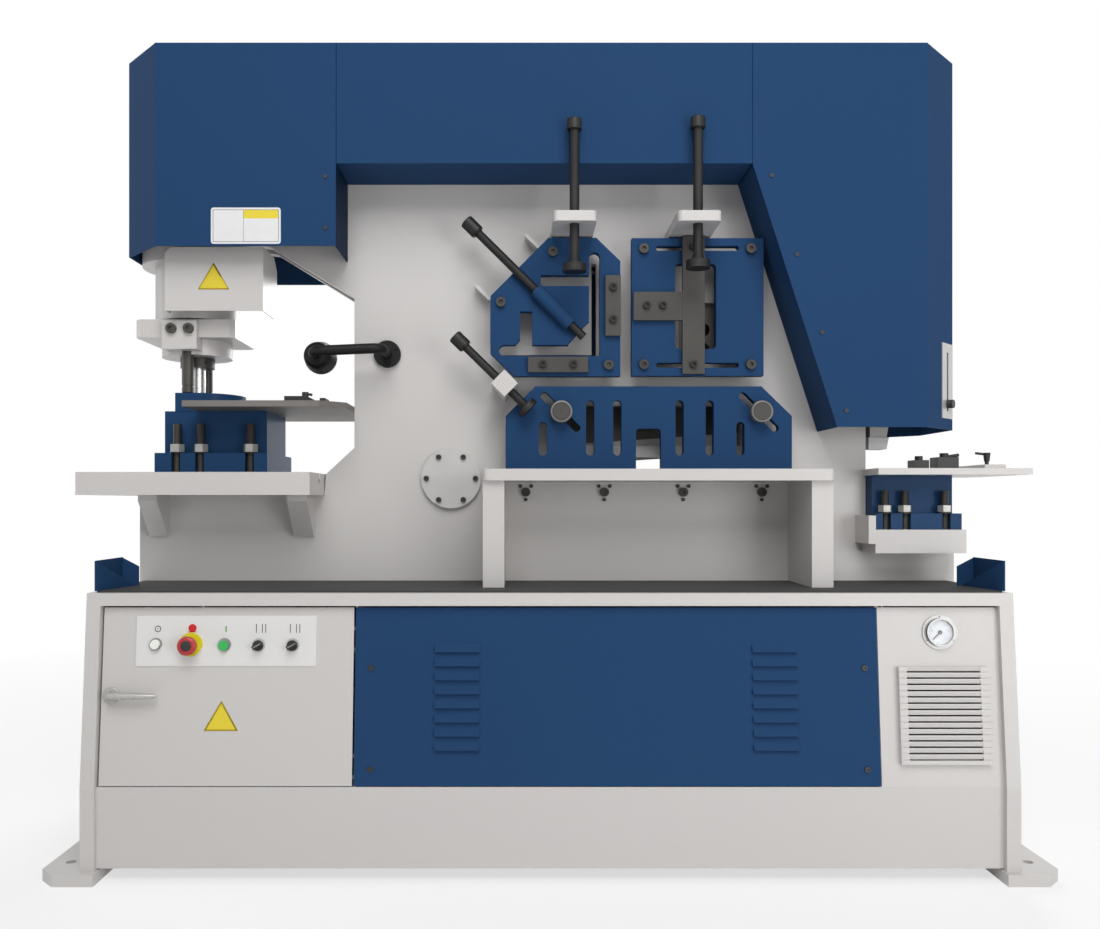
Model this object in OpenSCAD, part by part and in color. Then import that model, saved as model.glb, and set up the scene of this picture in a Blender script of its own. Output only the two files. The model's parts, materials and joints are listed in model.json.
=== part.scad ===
// Hydraulic ironworker.
// Two upright frame plates stand on a welded cabinet. A punch ram works at the left
// end; one shear beam swings between the plates on a pivot pin and works the flat
// shear, the angle shear, the bar shear and the notcher at the right end.
// X runs along the machine, Y to the rear, Z up. The origin is on the floor, in the
// middle of the anchor holes, and Y = 0 is the middle of the frame.

/* [Overall] */
// Height of the machine over its covers
overall_h = 1850; // [1830:5:1900]
// Width over the cabinet's side plates
base_w = 1980; // [1960:2:2010]
// Thickness of all the cover and cabinet sheet
sheet_t = 3; // [2:0.5:4]

/* [Frame] */
// Thickness of each frame plate
plate_t = 30; // [26:1:34]
// Gap between the frame plates, in which the beam swings
frame_gap = 44; // [42:1:50]
// Front face of the angle and bar shear plates, in front of the frame's middle
station_y = 125; // [118:1:132]
// Width of the angle shear's slots
angle_slot = 26; // [20:1:28]

/* [Shear beam] */
// Angle the beam swings down through, in degrees
stroke_deg = 4; // [2.5:0.1:4]
// Diameter of the beam's pivot pin
pivot_d = 90; // [80:1:100]
// Height of the flat shear blades
blade_h = 50; // [40:1:54]

/* [Punch] */
// Diameter of the punch ram
ram_d = 120; // [100:1:130]
// Travel of the punch ram, down to just above the die block
punch_stroke = 66; // [50:1:68]
// Diameter of the punch
punch_d = 38; // [20:1:38]

/* [Cabinet] */
// Lean of the cabinet's front, in degrees
lean = 5; // [3:0.5:6]
// Pitch of the louvres in the front panel
louvre_pitch = 29.5; // [26:0.5:32]
// Width of the door
door_w = 536; // [510:1:537]
// Diameter of the anchor holes
anchor_d = 22; // [18:1:26]

/* [Hidden] */
$fn = 48;

// Colours
BLUE = [0.16, 0.28, 0.43];
WHITE = [0.80, 0.80, 0.79];
OXIDE = [0.28, 0.28, 0.27];
STEEL = [0.52, 0.51, 0.50];
BLACK = [0.10, 0.10, 0.11];

// Frame plates: inner and outer faces
pi_y = frame_gap / 2;
po_y = pi_y + plate_t;
frame_top = overall_h - 95;
// Worktop, mat and cabinet
worktop_z = 608;
worktop_t = 27;
// Top edges of the front and rear panels, clear of the worktop's edge
panel_top = worktop_z - worktop_t - 4.5;
mat_t = 4;
mat_z = worktop_z + mat_t;
side_t = 30;
base_x = base_w / 2;
bay_z0 = 200;
foot_t = 25;
foot_y = 401;
foot_x0 = base_x - 35;
foot_x1 = base_x + 86.5;
anchor_x = base_x + 44;
anchor_y = 324;
skirt_y = 371;
rim = 13;
gap = 3;
// Bays of the cabinet's front
door_x1 = -420;
door_x0 = door_x1 - door_w;
div_x = [-418, 702];
// Punch station
ram_x = -865;
plate_x0 = -989;
cyl_y = 100;
// Beam
pivot = [-231, 860];
beam_t = 40;
beam_y = beam_t / 2;
cyl_pin = [870, 1640];
rod_pin = [870, 1090];
blade_top = 877;
blade_x = [-85, 565];
overlap = 3;
run_fit = 0.05;

// ---- helpers ----
// Box between two corners
module box(a, b) translate(a) cube([b[0] - a[0], b[1] - a[1], b[2] - a[2]]);
// Outline in X and Z, filled from y0 to y1
module xz(pts, y0, y1) translate([0, y1, 0]) rotate([90, 0, 0])
    linear_extrude(y1 - y0) polygon(pts);
// Outline in Y and Z, filled from x0 to x1
module yz(pts, x0, x1) translate([x0, 0, 0]) rotate([90, 0, 90])
    linear_extrude(x1 - x0) polygon(pts);
// Outline in X and Y, filled from z0 to z1
module xy(pts, z0, z1) translate([0, 0, z0]) linear_extrude(z1 - z0) polygon(pts);
// Flat children in X and Z, filled from y0 to y1
module to_xz(y0, y1) translate([0, y1, 0]) rotate([90, 0, 0])
    linear_extrude(y1 - y0) children();
module rod_x(x0, x1, y, z, d) translate([x0, y, z]) rotate([0, 90, 0])
    cylinder(d = d, h = x1 - x0);
module rod_y(x, y0, y1, z, d) translate([x, y1, z]) rotate([90, 0, 0])
    cylinder(d = d, h = y1 - y0);
module rod_z(x, y, z0, z1, d) translate([x, y, z0]) cylinder(d = d, h = z1 - z0);
// The children, and their mirror image on the machine's other side
module both_sides() { children(); mirror([1, 0, 0]) children(); }
module front_and_rear() { children(); mirror([0, 1, 0]) children(); }
// Flat slot of width w between two points, with round ends
module slot2(p, q, w) {
    d = q - p;
    translate(p) rotate(atan2(d[1], d[0])) {
        for (x = [0, norm(d)]) translate([x, 0]) circle(d = w);
        translate([0, -w / 2]) square([norm(d), w]);
    }
}
// Flat rectangle between two corners with round corners of radius r
module rounded2(a, b, r) {
    translate([a[0] + r, a[1]]) square([b[0] - a[0] - 2 * r, b[1] - a[1]]);
    translate([a[0], a[1] + r]) square([b[0] - a[0], b[1] - a[1] - 2 * r]);
    for (x = [a[0] + r, b[0] - r], y = [a[1] + r, b[1] - r]) translate([x, y]) circle(r);
}
// Outline (anticlockwise) with every edge moved inward by t
function unit(v) = v / norm(v);
function edge_in(p, q, t) = let (u = unit(q - p)) [p + t * [-u[1], u[0]], u];
function meet(e, f) = let (c = e[1][0] * f[1][1] - e[1][1] * f[1][0], d = f[0] - e[0])
    e[0] + e[1] * (d[0] * f[1][1] - d[1] * f[1][0]) / c;
function inset(pts, t) = let (n = len(pts)) [for (i = [0 : n - 1])
    meet(edge_in(pts[(i + n - 1) % n], pts[i], t), edge_in(pts[i], pts[(i + 1) % n], t))];
// The cabinet's leaning front: Z along the sheet from its bend, Y into the cabinet
module on_front() translate([0, -skirt_y, bay_z0]) rotate([-lean, 0, 0]) children();
function lean_z(z) = (z - bay_z0) / cos(lean);
function lean_y(z) = -skirt_y + (z - bay_z0) * tan(lean);
// Hexagon socket screw head, standing along -Y from the face y
module screw_head(x, y, z, d, h) difference() {
    rod_y(x, y - h, y, z, d);
    translate([x, y - h / 2, z]) rotate([90, 0, 0]) cylinder(d = d * 0.5, h = h, $fn = 6);
}

// ---- cabinet ----
// Side plate, and the inside of the cabinet that a part d behind the sheet fills
side_edge = [for (z = [foot_t, bay_z0, worktop_z]) [max(-skirt_y, lean_y(z)) - rim, z]];
function fan(e) = concat(e, [for (i = [len(e) - 1 : -1 : 0]) [-e[i][0], e[i][1]]]);
function behind(d, z0, z1) = [for (z = [z0, z1]) [lean_y(z) + d / cos(lean), z]];
gauge_at = [834, 524];
vent = [[741, 248], [933, 451]];
hinge_x = door_x1 - 6;
hinge_d = 6;
hinge_d0 = 5;
hinge_w = [40, 310];
knuckle_h = 36;

module base_cabinet() color(WHITE) {
    both_sides() {
        yz(fan(side_edge), base_x - side_t, base_x);
        difference() {
            xy([[foot_x0, -foot_y], [foot_x1 - 35, -foot_y], [foot_x1, 35 - foot_y],
                [foot_x1, foot_y - 35], [foot_x1 - 35, foot_y], [foot_x0, foot_y]], 0, foot_t);
            for (y = [-anchor_y, anchor_y]) rod_z(anchor_x, y, -1, foot_t + 1, anchor_d);
        }
    }
    yz(fan([for (z = [worktop_z - worktop_t, worktop_z]) [lean_y(z) - rim, z]]),
        -base_x, base_x);
    // Floor tray and the skirt round it
    inner = base_x - side_t;
    box([-inner, -skirt_y, bay_z0 - 2 * sheet_t], [inner, skirt_y, bay_z0 - sheet_t]);
    front_and_rear() box([-inner, -skirt_y, foot_t + 3], [inner, sheet_t - skirt_y, bay_z0]);
    for (x = div_x) yz(fan(behind(sheet_t, bay_z0 - sheet_t, worktop_z - worktop_t)),
        x + (x < 0 ? 1.5 : -4), x + (x < 0 ? 5.5 : 4));
    // End panel, bent up from the skirt, with holes for the gauge and the vent
    difference() {
        on_front() box([div_x[1], 0, -0.2], [inner, sheet_t, lean_z(panel_top)]);
        on_front() {
            rod_y(gauge_at[0], -5, 9, lean_z(gauge_at[1]), 60);
            box([vent[0][0] + 17, -5, lean_z(vent[0][1]) + 12],
                [vent[1][0] - 19, 9, lean_z(vent[1][1]) - 8]);
        }
    }
    // Arms that hold the door's hinge pins from behind
    on_front() for (w = hinge_w, s = [-1, 1]) translate([0, 0, w + s * (knuckle_h / 2 + 4.3)])
        difference() {
            union() {
                box([hinge_x - 5, 16, -4], [div_x[0] + 2, 20, 4]);
                box([hinge_x - 5, 4.5, -4], [hinge_x + 1.5, 20, 4]);
            }
            if (s < 0) translate([hinge_x, hinge_d, -3]) cylinder(d = hinge_d0, h = 20);
            else translate([hinge_x, hinge_d, -17]) cylinder(d = hinge_d0, h = 20);
        }
}

// Rubber mat, with cut-outs for the frame, the shelf's legs and the table brackets
module worktop_mat() color([0.29, 0.29, 0.29]) difference() {
    box([15 - base_x, lean_y(worktop_z) + 4, worktop_z], [base_x - 15, 331, mat_z]);
    box([plate_x0 - 1, -po_y - 1, 0], [base_x + 4, po_y + 1, 700]);
}

louvre_x = [-246, 432];
louvre_len = 96;
louvre_n = 8;
module front_panel() color(BLUE) on_front() {
    w0 = lean_z(487);
    difference() {
        box([div_x[0] + 2, 0, 2], [div_x[1] - 1.5, sheet_t, lean_z(panel_top)]);
        for (x = louvre_x, i = [0 : louvre_n - 1])
            box([x + 2, -1, w0 - i * louvre_pitch - 4],
                [x + louvre_len - 2, sheet_t + 1, w0 - i * louvre_pitch + 6]);
    }
    // Each louvre is a lip pressed out over its slot, closed at both ends
    for (x = louvre_x, i = [0 : louvre_n - 1]) translate([0, 0, w0 - i * louvre_pitch]) {
        yz([[0, 11], [-8, -3], [-8, -5], [-6.2, -5], [-6.2, -3.6], [sheet_t, 11]],
            x, x + louvre_len);
        for (e = [x, x + louvre_len - 2])
            yz([[sheet_t, 11], [0, 11], [-8, -3], [-8, -5], [sheet_t, -5]], e, e + 2);
    }
}

module rear_panel() color(WHITE) mirror([0, 1, 0]) on_front()
    box([gap + side_t - base_x, 0, 2], [base_x - side_t - gap, sheet_t, lean_z(panel_top)]);

// Plastic vent grille: narrow slots through a thick plate, each under a sloping slat
vent_n = 15;
vent_t = 12;
vent_slot = 3.2;
module vent_grille() color(WHITE) on_front() {
    a = [vent[0][0], lean_z(vent[0][1])];
    b = [vent[1][0], lean_z(vent[1][1])];
    x = [a[0] + 17, b[0] - 19];
    pitch = (b[1] - a[1] - 20) / (vent_n - 1);
    difference() {
        box([a[0], -vent_t, a[1]], [b[0], 0, b[1]]);
        box([x[0], -vent_t + 4, a[1] + 5], [x[1], 1, b[1] - 5]);
        for (i = [0 : vent_n - 1]) translate([0, 0, a[1] + 10 + i * pitch]) {
            box([x[0], -vent_t - 1, -vent_slot / 2], [x[1], -vent_t + 5, vent_slot / 2]);
            box([a[0] - 1, -vent_t - 1, -0.8], [b[0] + 1, -vent_t + 1.5, 0.8]);
            yz([[-vent_t - 1, vent_slot / 2 - 0.5], [-vent_t - 1, pitch - 4],
                [-vent_t, pitch - 4], [-vent_t + 2.5, vent_slot / 2 - 0.5]], x[0], x[1]);
        }
    }
}

// Pressure gauge, in the gauge hole of the end panel
module at_gauge() on_front() translate([gauge_at[0], 0, lean_z(gauge_at[1])]) children();
module gauge_body() color([0.80, 0.80, 0.80]) at_gauge() {
    difference() {
        union() {
            rod_y(0, -4, 0, 0, 73);
            rod_y(0, -12, 30, 0, 59.6);
        }
        rod_y(0, -13, -4, 0, 54);
        for (a = [-90, 30, 150]) rotate([0, a, 0]) rod_y(33.2, -5, 1, 0, 3);
    }
    rod_y(0, -6, -3, 0, 3);
}
module gauge_lens() color([0.85, 0.9, 0.92]) at_gauge() rod_y(0, -11.5, -9, 0, 54);
module gauge_needle() color([0.1, 0.1, 0.1]) at_gauge() {
    difference() { rod_y(0, -7, -5.4, 0, 8); rod_y(0, -8, -5, 0, 3.1); }
    rotate([0, -135, 0]) xz([[-0.9, 3.2], [0.9, 3.2], [0.4, 21], [-0.4, 21]], -6.8, -5.6);
}

// Bent scrap guards on the mat at both ends
scrap_y = [-345, -198];
module scrap_boxes() color(BLUE) both_sides() {
    x0 = base_x - 15;
    xi = x0 - 40;
    box([x0 - sheet_t, scrap_y[0], mat_z], [x0, scrap_y[1], mat_z + 65]);
    xz([[x0, mat_z], [x0, mat_z + 65], [xi, mat_z + 44], [xi, mat_z]],
        scrap_y[1] - sheet_t, scrap_y[1]);
    // Sloping inner sheet, full height at the front and running out at the rear
    t = sheet_t;
    intersection() {
        xy([[x0, scrap_y[0]], [x0 - 27, scrap_y[1]], [x0 - 27 - t, scrap_y[1]], [x0 - t, scrap_y[0]]],
            mat_z, mat_z + 65);
        yz([[scrap_y[0], mat_z], [scrap_y[1], mat_z], [scrap_y[0], mat_z + 65]], x0 - 40, x0);
    }
}

// ---- door and control panel ----
module door() color(WHITE) on_front() {
    top = lean_z(panel_top);
    difference() {
        union() {
            box([door_x0, 0, 2], [door_x1, sheet_t, top]);
            // Folded edges at the handle's side, the top and the bottom
            box([door_x0, 0, 2], [door_x0 + sheet_t, 15, top]);
            for (w = [2, top - sheet_t]) box([door_x0, 0, w], [hinge_x - 14, 15, w + sheet_t]);
            for (w = hinge_w) translate([hinge_x, hinge_d, w - knuckle_h / 2])
                cylinder(d = 9, h = knuckle_h);
        }
        for (w = hinge_w) translate([hinge_x, hinge_d, w - knuckle_h / 2 - 1])
            cylinder(d = hinge_d0 + 2 * run_fit, h = knuckle_h + 2);
        rod_y(handle_at[0], -1, sheet_t + 1, lean_z(handle_at[1]), 20 + 2 * run_fit);
        for (c = controls) rod_y(c[0], -1, sheet_t + 1, lean_z(c[1]), c[2] + 2);
    }
}

// Places and hole sizes of the devices on the control plate
control_z = 496;
controls = [[-843, control_z, 22], [-768, control_z, 22], [-696, control_z, 20],
    [-623, control_z, 20], [-550, control_z, 20]];
handle_at = [-934, 391];

// Lever of the door's latch: rosette, spindle, lever and the tongue inside
module door_handle() color([0.75, 0.74, 0.73]) on_front() translate([handle_at[0], 0, lean_z(handle_at[1])]) {
    rod_y(0, -6, -0.1, 0, 35);
    rod_y(0, -28, 20, 0, 20);
    to_xz(-36, -24) slot2([0, 0], [94, 0], 13);
    // Latch tongue inside the door
    box([-18, 17, -10], [10, 20, 10]);
}

// Control plate with the indicator and the stop button's yellow collar
module control_plate() color([0.85, 0.85, 0.84]) on_front() {
    difference() {
        box([-885, -2, lean_z(452)], [-500, 0, lean_z(559)]);
        for (c = controls) rod_y(c[0], -3, 1, lean_z(c[1]), c[2] + 2);
    }
    w = lean_z(control_z);
    // Indicator
    rod_y(controls[0][0], -6, -1, w, 27);
    rod_y(controls[0][0], -2, 30, w, 23.9);
    rod_y(controls[0][0], -11, -6, w, 20);
    // Collars and guide tubes of the buttons and selectors
    for (i = [1 : 4]) {
        c = controls[i];
        difference() {
            union() {
                rod_y(c[0], i == 1 ? -8 : -5, -1, w, i == 1 ? 50 : 28);
                rod_y(c[0], -2, 30, w, c[2] + 1.9);
            }
            rod_y(c[0], -9, 31, w, c[2] - 8);
        }
    }
}
module at_control(i) on_front() translate([controls[i][0], 0, lean_z(control_z)]) children();
estop_travel = 5;
start_travel = 3;
module estop_button() color([0.7, 0.15, 0.17]) at_control(1) {
    rod_y(0, -22 - 13, -22, 0, 40);
    rod_y(0, -22, 22, 0, 14 - 2 * run_fit);
}
module start_button() color([0.2, 0.65, 0.3]) at_control(2) {
    rod_y(0, -12, -8.4, 0, 21);
    rod_y(0, -9, 26, 0, 12 - 2 * run_fit);
}
module selector() {
    rod_y(0, -10, -5.4, 0, 22.5);
    rotate([0, 60, 0]) box([-4, -22, -10.5], [4, -9, 10.5]);
    rod_y(0, -6, 26, 0, 12 - 2 * run_fit);
}
module selector_left() color(BLACK) at_control(3) selector();
module selector_right() color(BLACK) at_control(4) selector();

// Contactors, transformer and terminal rail on a plate that stands in the door bay
module electrical_panel() color([0.72, 0.72, 0.7]) {
    z0 = bay_z0 - sheet_t;
    box([-880, 240, z0], [-480, 244, 565]);
    box([-880, 200, z0], [-480, 244, z0 + 3]);
    for (x = [-850, -780, -710, -640]) box([x, 160, 450], [x + 52, 241, 530]);
    box([-860, 232, 395], [-500, 241, 430]);
    for (i = [0 : 13]) box([-840 + i * 22, 190, 392], [-822 + i * 22, 236, 433]);
    box([-850, 120, 240], [-740, 241, 350]);
    box([-690, 175, 250], [-520, 241, 340]);
    box([-570, 160, 450], [-500, 241, 540]);
}

// Oil tank with the pump's motor, the valve block and the filler on its lid
module power_unit() color([0.35, 0.37, 0.38]) {
    z0 = bay_z0 - sheet_t;
    for (x = [-330, 130]) box([x, -40, z0], [x + 40, 280, z0 + 25]);
    box([-350, -60, z0 + 25], [190, 300, z0 + 200]);
    box([-362, -72, z0 + 200], [202, 312, z0 + 210]);
    rod_z(-180, 120, z0 + 210, z0 + 225, 200);
    rod_z(-180, 120, z0 + 225, z0 + 345, 160);
    for (a = [0 : 30 : 330]) translate([-180, 120, z0 + 240]) rotate(a)
        translate([78, -3, 0]) cube([12, 6, 90]);
    box([0, 40, z0 + 210], [110, 200, z0 + 290]);
    for (x = [30, 80]) rod_y(x, -20, 40, z0 + 250, 38);
    rod_z(155, -20, z0 + 210, z0 + 250, 50);
}

// ---- frame ----
plate_right = 777;
step_z = [819, 683];
frame_line = [[plate_x0, worktop_z], [base_x + 2, worktop_z], [base_x + 2, step_z[1]],
    [plate_right, step_z[1]], [plate_right, cyl_pin[1] - 48], [cyl_pin[0] + 60, cyl_pin[1] - 48],
    [cyl_pin[0] + 60, frame_top - 40], [cyl_pin[0] + 20, frame_top], [-740, frame_top],
    [-765, frame_top - 25], [-765, 1430], [-731, 1430], [-671, 1424], [-467, 1299], [-467, 935],
    [-536, 871], [-540, step_z[0]], [plate_x0, step_z[0]]];
// Openings for the work: flat bar, angle section and the bar shear's window
flat_cut = [[-80, blade_top], [560, 912]];
sight = [[50, 940], [472, 1037]];
angle_in = [115.5, 1155];
angle_up = 1382;
angle_left = -104;
angle_w = 11;
bar_cut = [[322, 1160], [430, 1288]];
module angle_opening(w) {
    translate(angle_in - [w, w] / 2) square([w, angle_up - angle_in[1] + w / 2]);
    translate([angle_left, angle_in[1] - w / 2]) square([angle_in[0] - angle_left, w]);
}
// Round and square holes of the bar shear, one over the other
bar_hole_x = 385;
module bar_holes() {
    translate([bar_hole_x, 1225]) circle(d = 32);
    translate([bar_hole_x, 1183]) rotate(45) square(22, center = true);
    translate([bar_hole_x - 40, 1225]) circle(d = 24);
    translate([bar_hole_x - 40, 1183]) circle(d = 18);
}
module work_openings(m) {
    translate(flat_cut[0] - [m, m]) square(flat_cut[1] - flat_cut[0] + 2 * [m, m]);
    translate(sight[0] - [m, m]) square(sight[1] - sight[0] + 2 * [m, m]);
    angle_opening(angle_w + 2 * m);
    translate(bar_cut[0] - [m, m]) square(bar_cut[1] - bar_cut[0] + 2 * [m, m]);
}
module frame_shape(m) difference() {
    polygon(frame_line);
    work_openings(m);
    translate(pivot) circle(d = pivot_d);
    translate(cyl_pin) circle(d = 50);
}
// Brackets under the punch table, welded to the plate's outer face
module table_brackets() for (x = [[-960, -916], [-611, -563]])
    yz([[-po_y, 721], [-po_y, step_z[0]], [-141, step_z[0]], [-141, 805], [-66, 721]], x[0], x[1]);

module front_frame_plate() color(WHITE) {
    difference() {
        to_xz(-po_y, -pi_y) frame_shape(0);
        // Pocket behind the slot for the fixed blade
        box([blade_x[0], -pi_y - 23, blade_top - blade_h], [blade_x[1], 0, blade_top + 1]);
    }
    table_brackets();
}
module rear_frame_plate() color(WHITE) {
    to_xz(pi_y, po_y) frame_shape(4);
    mirror([0, 1, 0]) table_brackets();
}
// Packing pieces that hold the plates apart
module frame_packers() color(STEEL) {
    box([plate_x0, -pi_y, worktop_z], [-930, pi_y, step_z[0]]);
    box([-790, -pi_y, worktop_z], [plate_right, pi_y, 700]);
    box([-467, -pi_y, 935], [-392, pi_y, 1290]);
    box([-765, -pi_y, 1665], [765, pi_y, frame_top]);
    box([690, -pi_y, 720], [plate_right, pi_y, 830]);
}

// ---- covers ----
cover_y = 207;
cover_x = [-998, -483, 466, 969];
cover_z = [1387, 1575, 974];
facet = [103, 110];
left_plan = [[cover_x[0], facet[1] - cover_y], [cover_x[0] + facet[0], -cover_y],
    [cover_x[1], -cover_y], [cover_x[1], 0], [cover_x[0], 0]];
left_inner = [[cover_x[0], facet[1] - cover_y], [cover_x[0] + facet[0], -cover_y],
    [cover_x[1] + 50, -cover_y], [cover_x[1] + 50, 50], [cover_x[0], 50]];
module left_shell() {
    difference() {
        xy(left_plan, cover_z[0], overall_h);
        xy(inset(left_inner, sheet_t), cover_z[0] - 50, overall_h - sheet_t);
    }
    // Return beside the angle station
    box([cover_x[1] - sheet_t, -cover_y, cover_z[0]], [cover_x[1], -po_y, cover_z[1] + sheet_t]);
}
module middle_shell() {
    box([cover_x[1], -cover_y, cover_z[1]], [cover_x[2], sheet_t - cover_y, overall_h]);
    box([cover_x[1], -cover_y, overall_h - sheet_t], [cover_x[2], 0, overall_h]);
    box([cover_x[1], -cover_y, cover_z[1]], [cover_x[2], -po_y, cover_z[1] + sheet_t]);
}
// The right cover's edge beside the bar station slopes down to its foot
foot_x = 659;
function cover_edge(z) = cover_x[2] + (cover_z[1] - z) * (foot_x - cover_x[2])
    / (cover_z[1] - cover_z[2]);
facet_x = cover_x[3] - 105;
right_line = [[cover_x[2], cover_z[1]], [foot_x, cover_z[2]], [cover_x[3], cover_z[2]],
    [cover_x[3], overall_h], [cover_x[2], overall_h]];
right_in = [[cover_edge(1700), 1700], [cover_edge(900), 900], [cover_x[3], 900],
    [cover_x[3], overall_h], [cover_edge(1700), overall_h]];
function right_plan(x0, y1) = [[x0, -cover_y], [facet_x, -cover_y],
    [cover_x[3], facet[1] - cover_y], [cover_x[3], y1], [x0, y1]];
slide_z = [1022, 1151];
// Places on the right cover's facet: X along it, Y inward
module on_facet() translate([facet_x, -cover_y, 0])
    rotate(atan2(facet[1], cover_x[3] - facet_x)) children();
facet_mid = 117;
module right_shell() difference() {
    intersection() {
        xz(right_line, -cover_y, 0);
        xy(right_plan(400, 0), 0, overall_h);
    }
    intersection() {
        xz(inset(right_in, sheet_t), -300, 50);
        xy(inset(right_plan(350, 50), sheet_t), 0, overall_h);
    }
    // Behind the front wall the edge is folded back only as far as the frame
    box([cover_x[2] - 10, -po_y, cover_z[2] - 10], [foot_x + 60, 1, cover_z[1] + 20]);
}
module left_cover() color(BLUE) left_shell();
module middle_cover() color(BLUE) middle_shell();
module right_cover() color(BLUE) difference() {
    right_shell();
    on_facet() box([facet_mid - 4.5, -20, slide_z[0] - 4.5], [facet_mid + 4.5, 20, slide_z[1] + 4.5]);
}
chute = [-150, 466, 1090];
module rear_cover() color(BLUE) mirror([0, 1, 0]) {
    left_shell();
    middle_shell();
    right_shell();
    // Offcut chute behind the angle and bar shears, open at the bottom
    difference() {
        box([chute[0], -cover_y, chute[2]], [chute[1], -po_y, cover_z[1] + sheet_t]);
        box([chute[0] + sheet_t, sheet_t - cover_y, chute[2] - 1],
            [chute[1] - sheet_t, 0, cover_z[1]]);
    }
}

// Stroke setting plate and its knob on the right cover's facet
module stroke_plate() color([0.85, 0.85, 0.84]) on_facet() difference() {
    box([facet_mid - 31, -2, 1000], [facet_mid + 31, 0, 1177]);
    box([facet_mid - 4.5, -3, slide_z[0] - 4.5], [facet_mid + 4.5, 1, slide_z[1] + 4.5]);
}
module stroke_knob() color(BLACK) on_facet() {
    z = slide_z[0] + 12;
    rod_y(facet_mid, -16, -2.3, z, 20);
    rod_y(facet_mid, -10, 12, z, 8.4);
    rod_y(facet_mid, sheet_t + 0.3, 8, z, 20);
}

// ---- punch station ----
cyl_z = [1243, 1377, 1429, 1720];
tool_z = [1196, 1239];
post_y = 74;
post_d = 28;
punch_z = 1068;
ram_fit = ram_d + 2 * run_fit;
module punch_cylinder() color(WHITE) difference() {
    union() {
        rod_z(ram_x, 0, cyl_z[0], cyl_z[1] + 1, 198);
        rod_z(ram_x, 0, cyl_z[1], cyl_z[2], 258);
        box([ram_x - cyl_y, -cyl_y, cyl_z[2]], [ram_x + cyl_y, cyl_y, cyl_z[3]]);
        // Bolting face against the ends of the frame plates
        rod_z(ram_x, 0, cyl_z[3], cyl_z[3] + 20, 150);
    }
    rod_z(ram_x, 0, cyl_z[0] - 1, cyl_z[2] + 20, ram_fit);
    rod_z(ram_x, 0, cyl_z[2] + 11, 1700, 150);
}
module punch_ram() color([0.7, 0.7, 0.7]) {
    rod_z(ram_x, 0, tool_z[1], 1640, ram_d);
    rod_z(ram_x, 0, 1635, 1695, 150 - 2 * run_fit);
    // Stop tube that meets the gland at the end of the stroke
    rod_z(ram_x, 0, cyl_z[2] + 12 + punch_stroke, 1636, 136);
}
// Plate on the ram's end, with a disc under it and the clamp block in front
holder_z = 1134;
disc_z = 1158;
module tool_plate() color(WHITE) {
    c = 12;
    x = [-984, -747];
    y = 99;
    xy([[x[0] + c, -y], [x[1] - c, -y], [x[1], c - y], [x[1], y - c], [x[1] - c, y],
        [x[0] + c, y], [x[0], y - c], [x[0], c - y]], tool_z[0], tool_z[1]);
    difference() {
        union() {
            rod_z(ram_x, 0, disc_z, tool_z[0] + 1, 167);
            box([-912, -y - 19, 1166], [-830, -60, tool_z[0] + 1]);
        }
        front_and_rear() rod_z(ram_x, -post_y, 1150, tool_z[0], post_d);
    }
    box([-912, -y - 19, tool_z[0]], [-830, 1 - y, tool_z[1] - 6]);
}
// Coupling nut of the punch, and the two guide posts
module punch_holder() color(OXIDE) {
    difference() {
        rod_z(ram_x, 0, holder_z, disc_z, 82);
        rod_z(ram_x, 0, 1130, disc_z - 2, punch_d + 4);
        for (a = [45 : 90 : 315]) translate([ram_x, 0, 1146]) rotate([0, 90, a])
            translate([0, 0, 36]) cylinder(d = 8, h = 10);
    }
    front_and_rear() difference() {
        rod_z(ram_x, -post_y, 1067, tool_z[0], post_d);
        translate([ram_x, -post_y, 1080]) rotate_extrude()
            translate([post_d / 2 - 1.5, 0]) square([5, 4]);
    }
    // Screws of the clamp block
    for (p = [-889, -848]) screw_head(p, -118, 1214, 24, 9);
}
module punch() color(STEEL) {
    rod_z(ram_x, 0, 1134.2, 1155.8, punch_d + 3.8);
    rod_z(ram_x, 0, punch_z, 1140, punch_d);
}
guard_y = -150;
module punch_guard() color(WHITE) {
    t = sheet_t;
    xz([[-894, 1250], [-664, 1250], [-664, 1399], [-880, 1399], [-894, 1385]], guard_y, guard_y + t);
    yz([[guard_y, 1250], [-45, 1250], [-17, 1278], [-17, 1371], [-45, 1399], [guard_y, 1399]],
        -664 - t, -664);
    yz([[guard_y, 1250], [-120, 1250], [-101, 1269], [-101, 1350], [-131, 1374], [-131, 1385],
        [guard_y, 1385]],
        -894, -894 + t);
    // Foot that carries the guard on the cylinder's sleeve
    difference() {
        box([ram_x - 22, guard_y + 1, 1320], [ram_x + 22, -90, 1368]);
        rod_z(ram_x, 0, 1300, 1376.9, 198);
    }
}
table_z = [step_z[0], 871];
slug_d = 42;
module punch_table() color(WHITE) difference() {
    box([-1070, -224, table_z[0]], [-540, 224, table_z[1]]);
    rod_z(ram_x, 0, table_z[0] - 1, table_z[1] + 1, slug_d);
    // Clamp slot in the right end
    box([-560, -119, 848], [-539, -107, table_z[1] + 1]);
    box([-560, -127, 848], [-539, -99, 857]);
}
die_z = [table_z[1], 919, 1020, 1064];
clamp_x = [-877, -821, -703];
clamp_y = 113;
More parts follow.
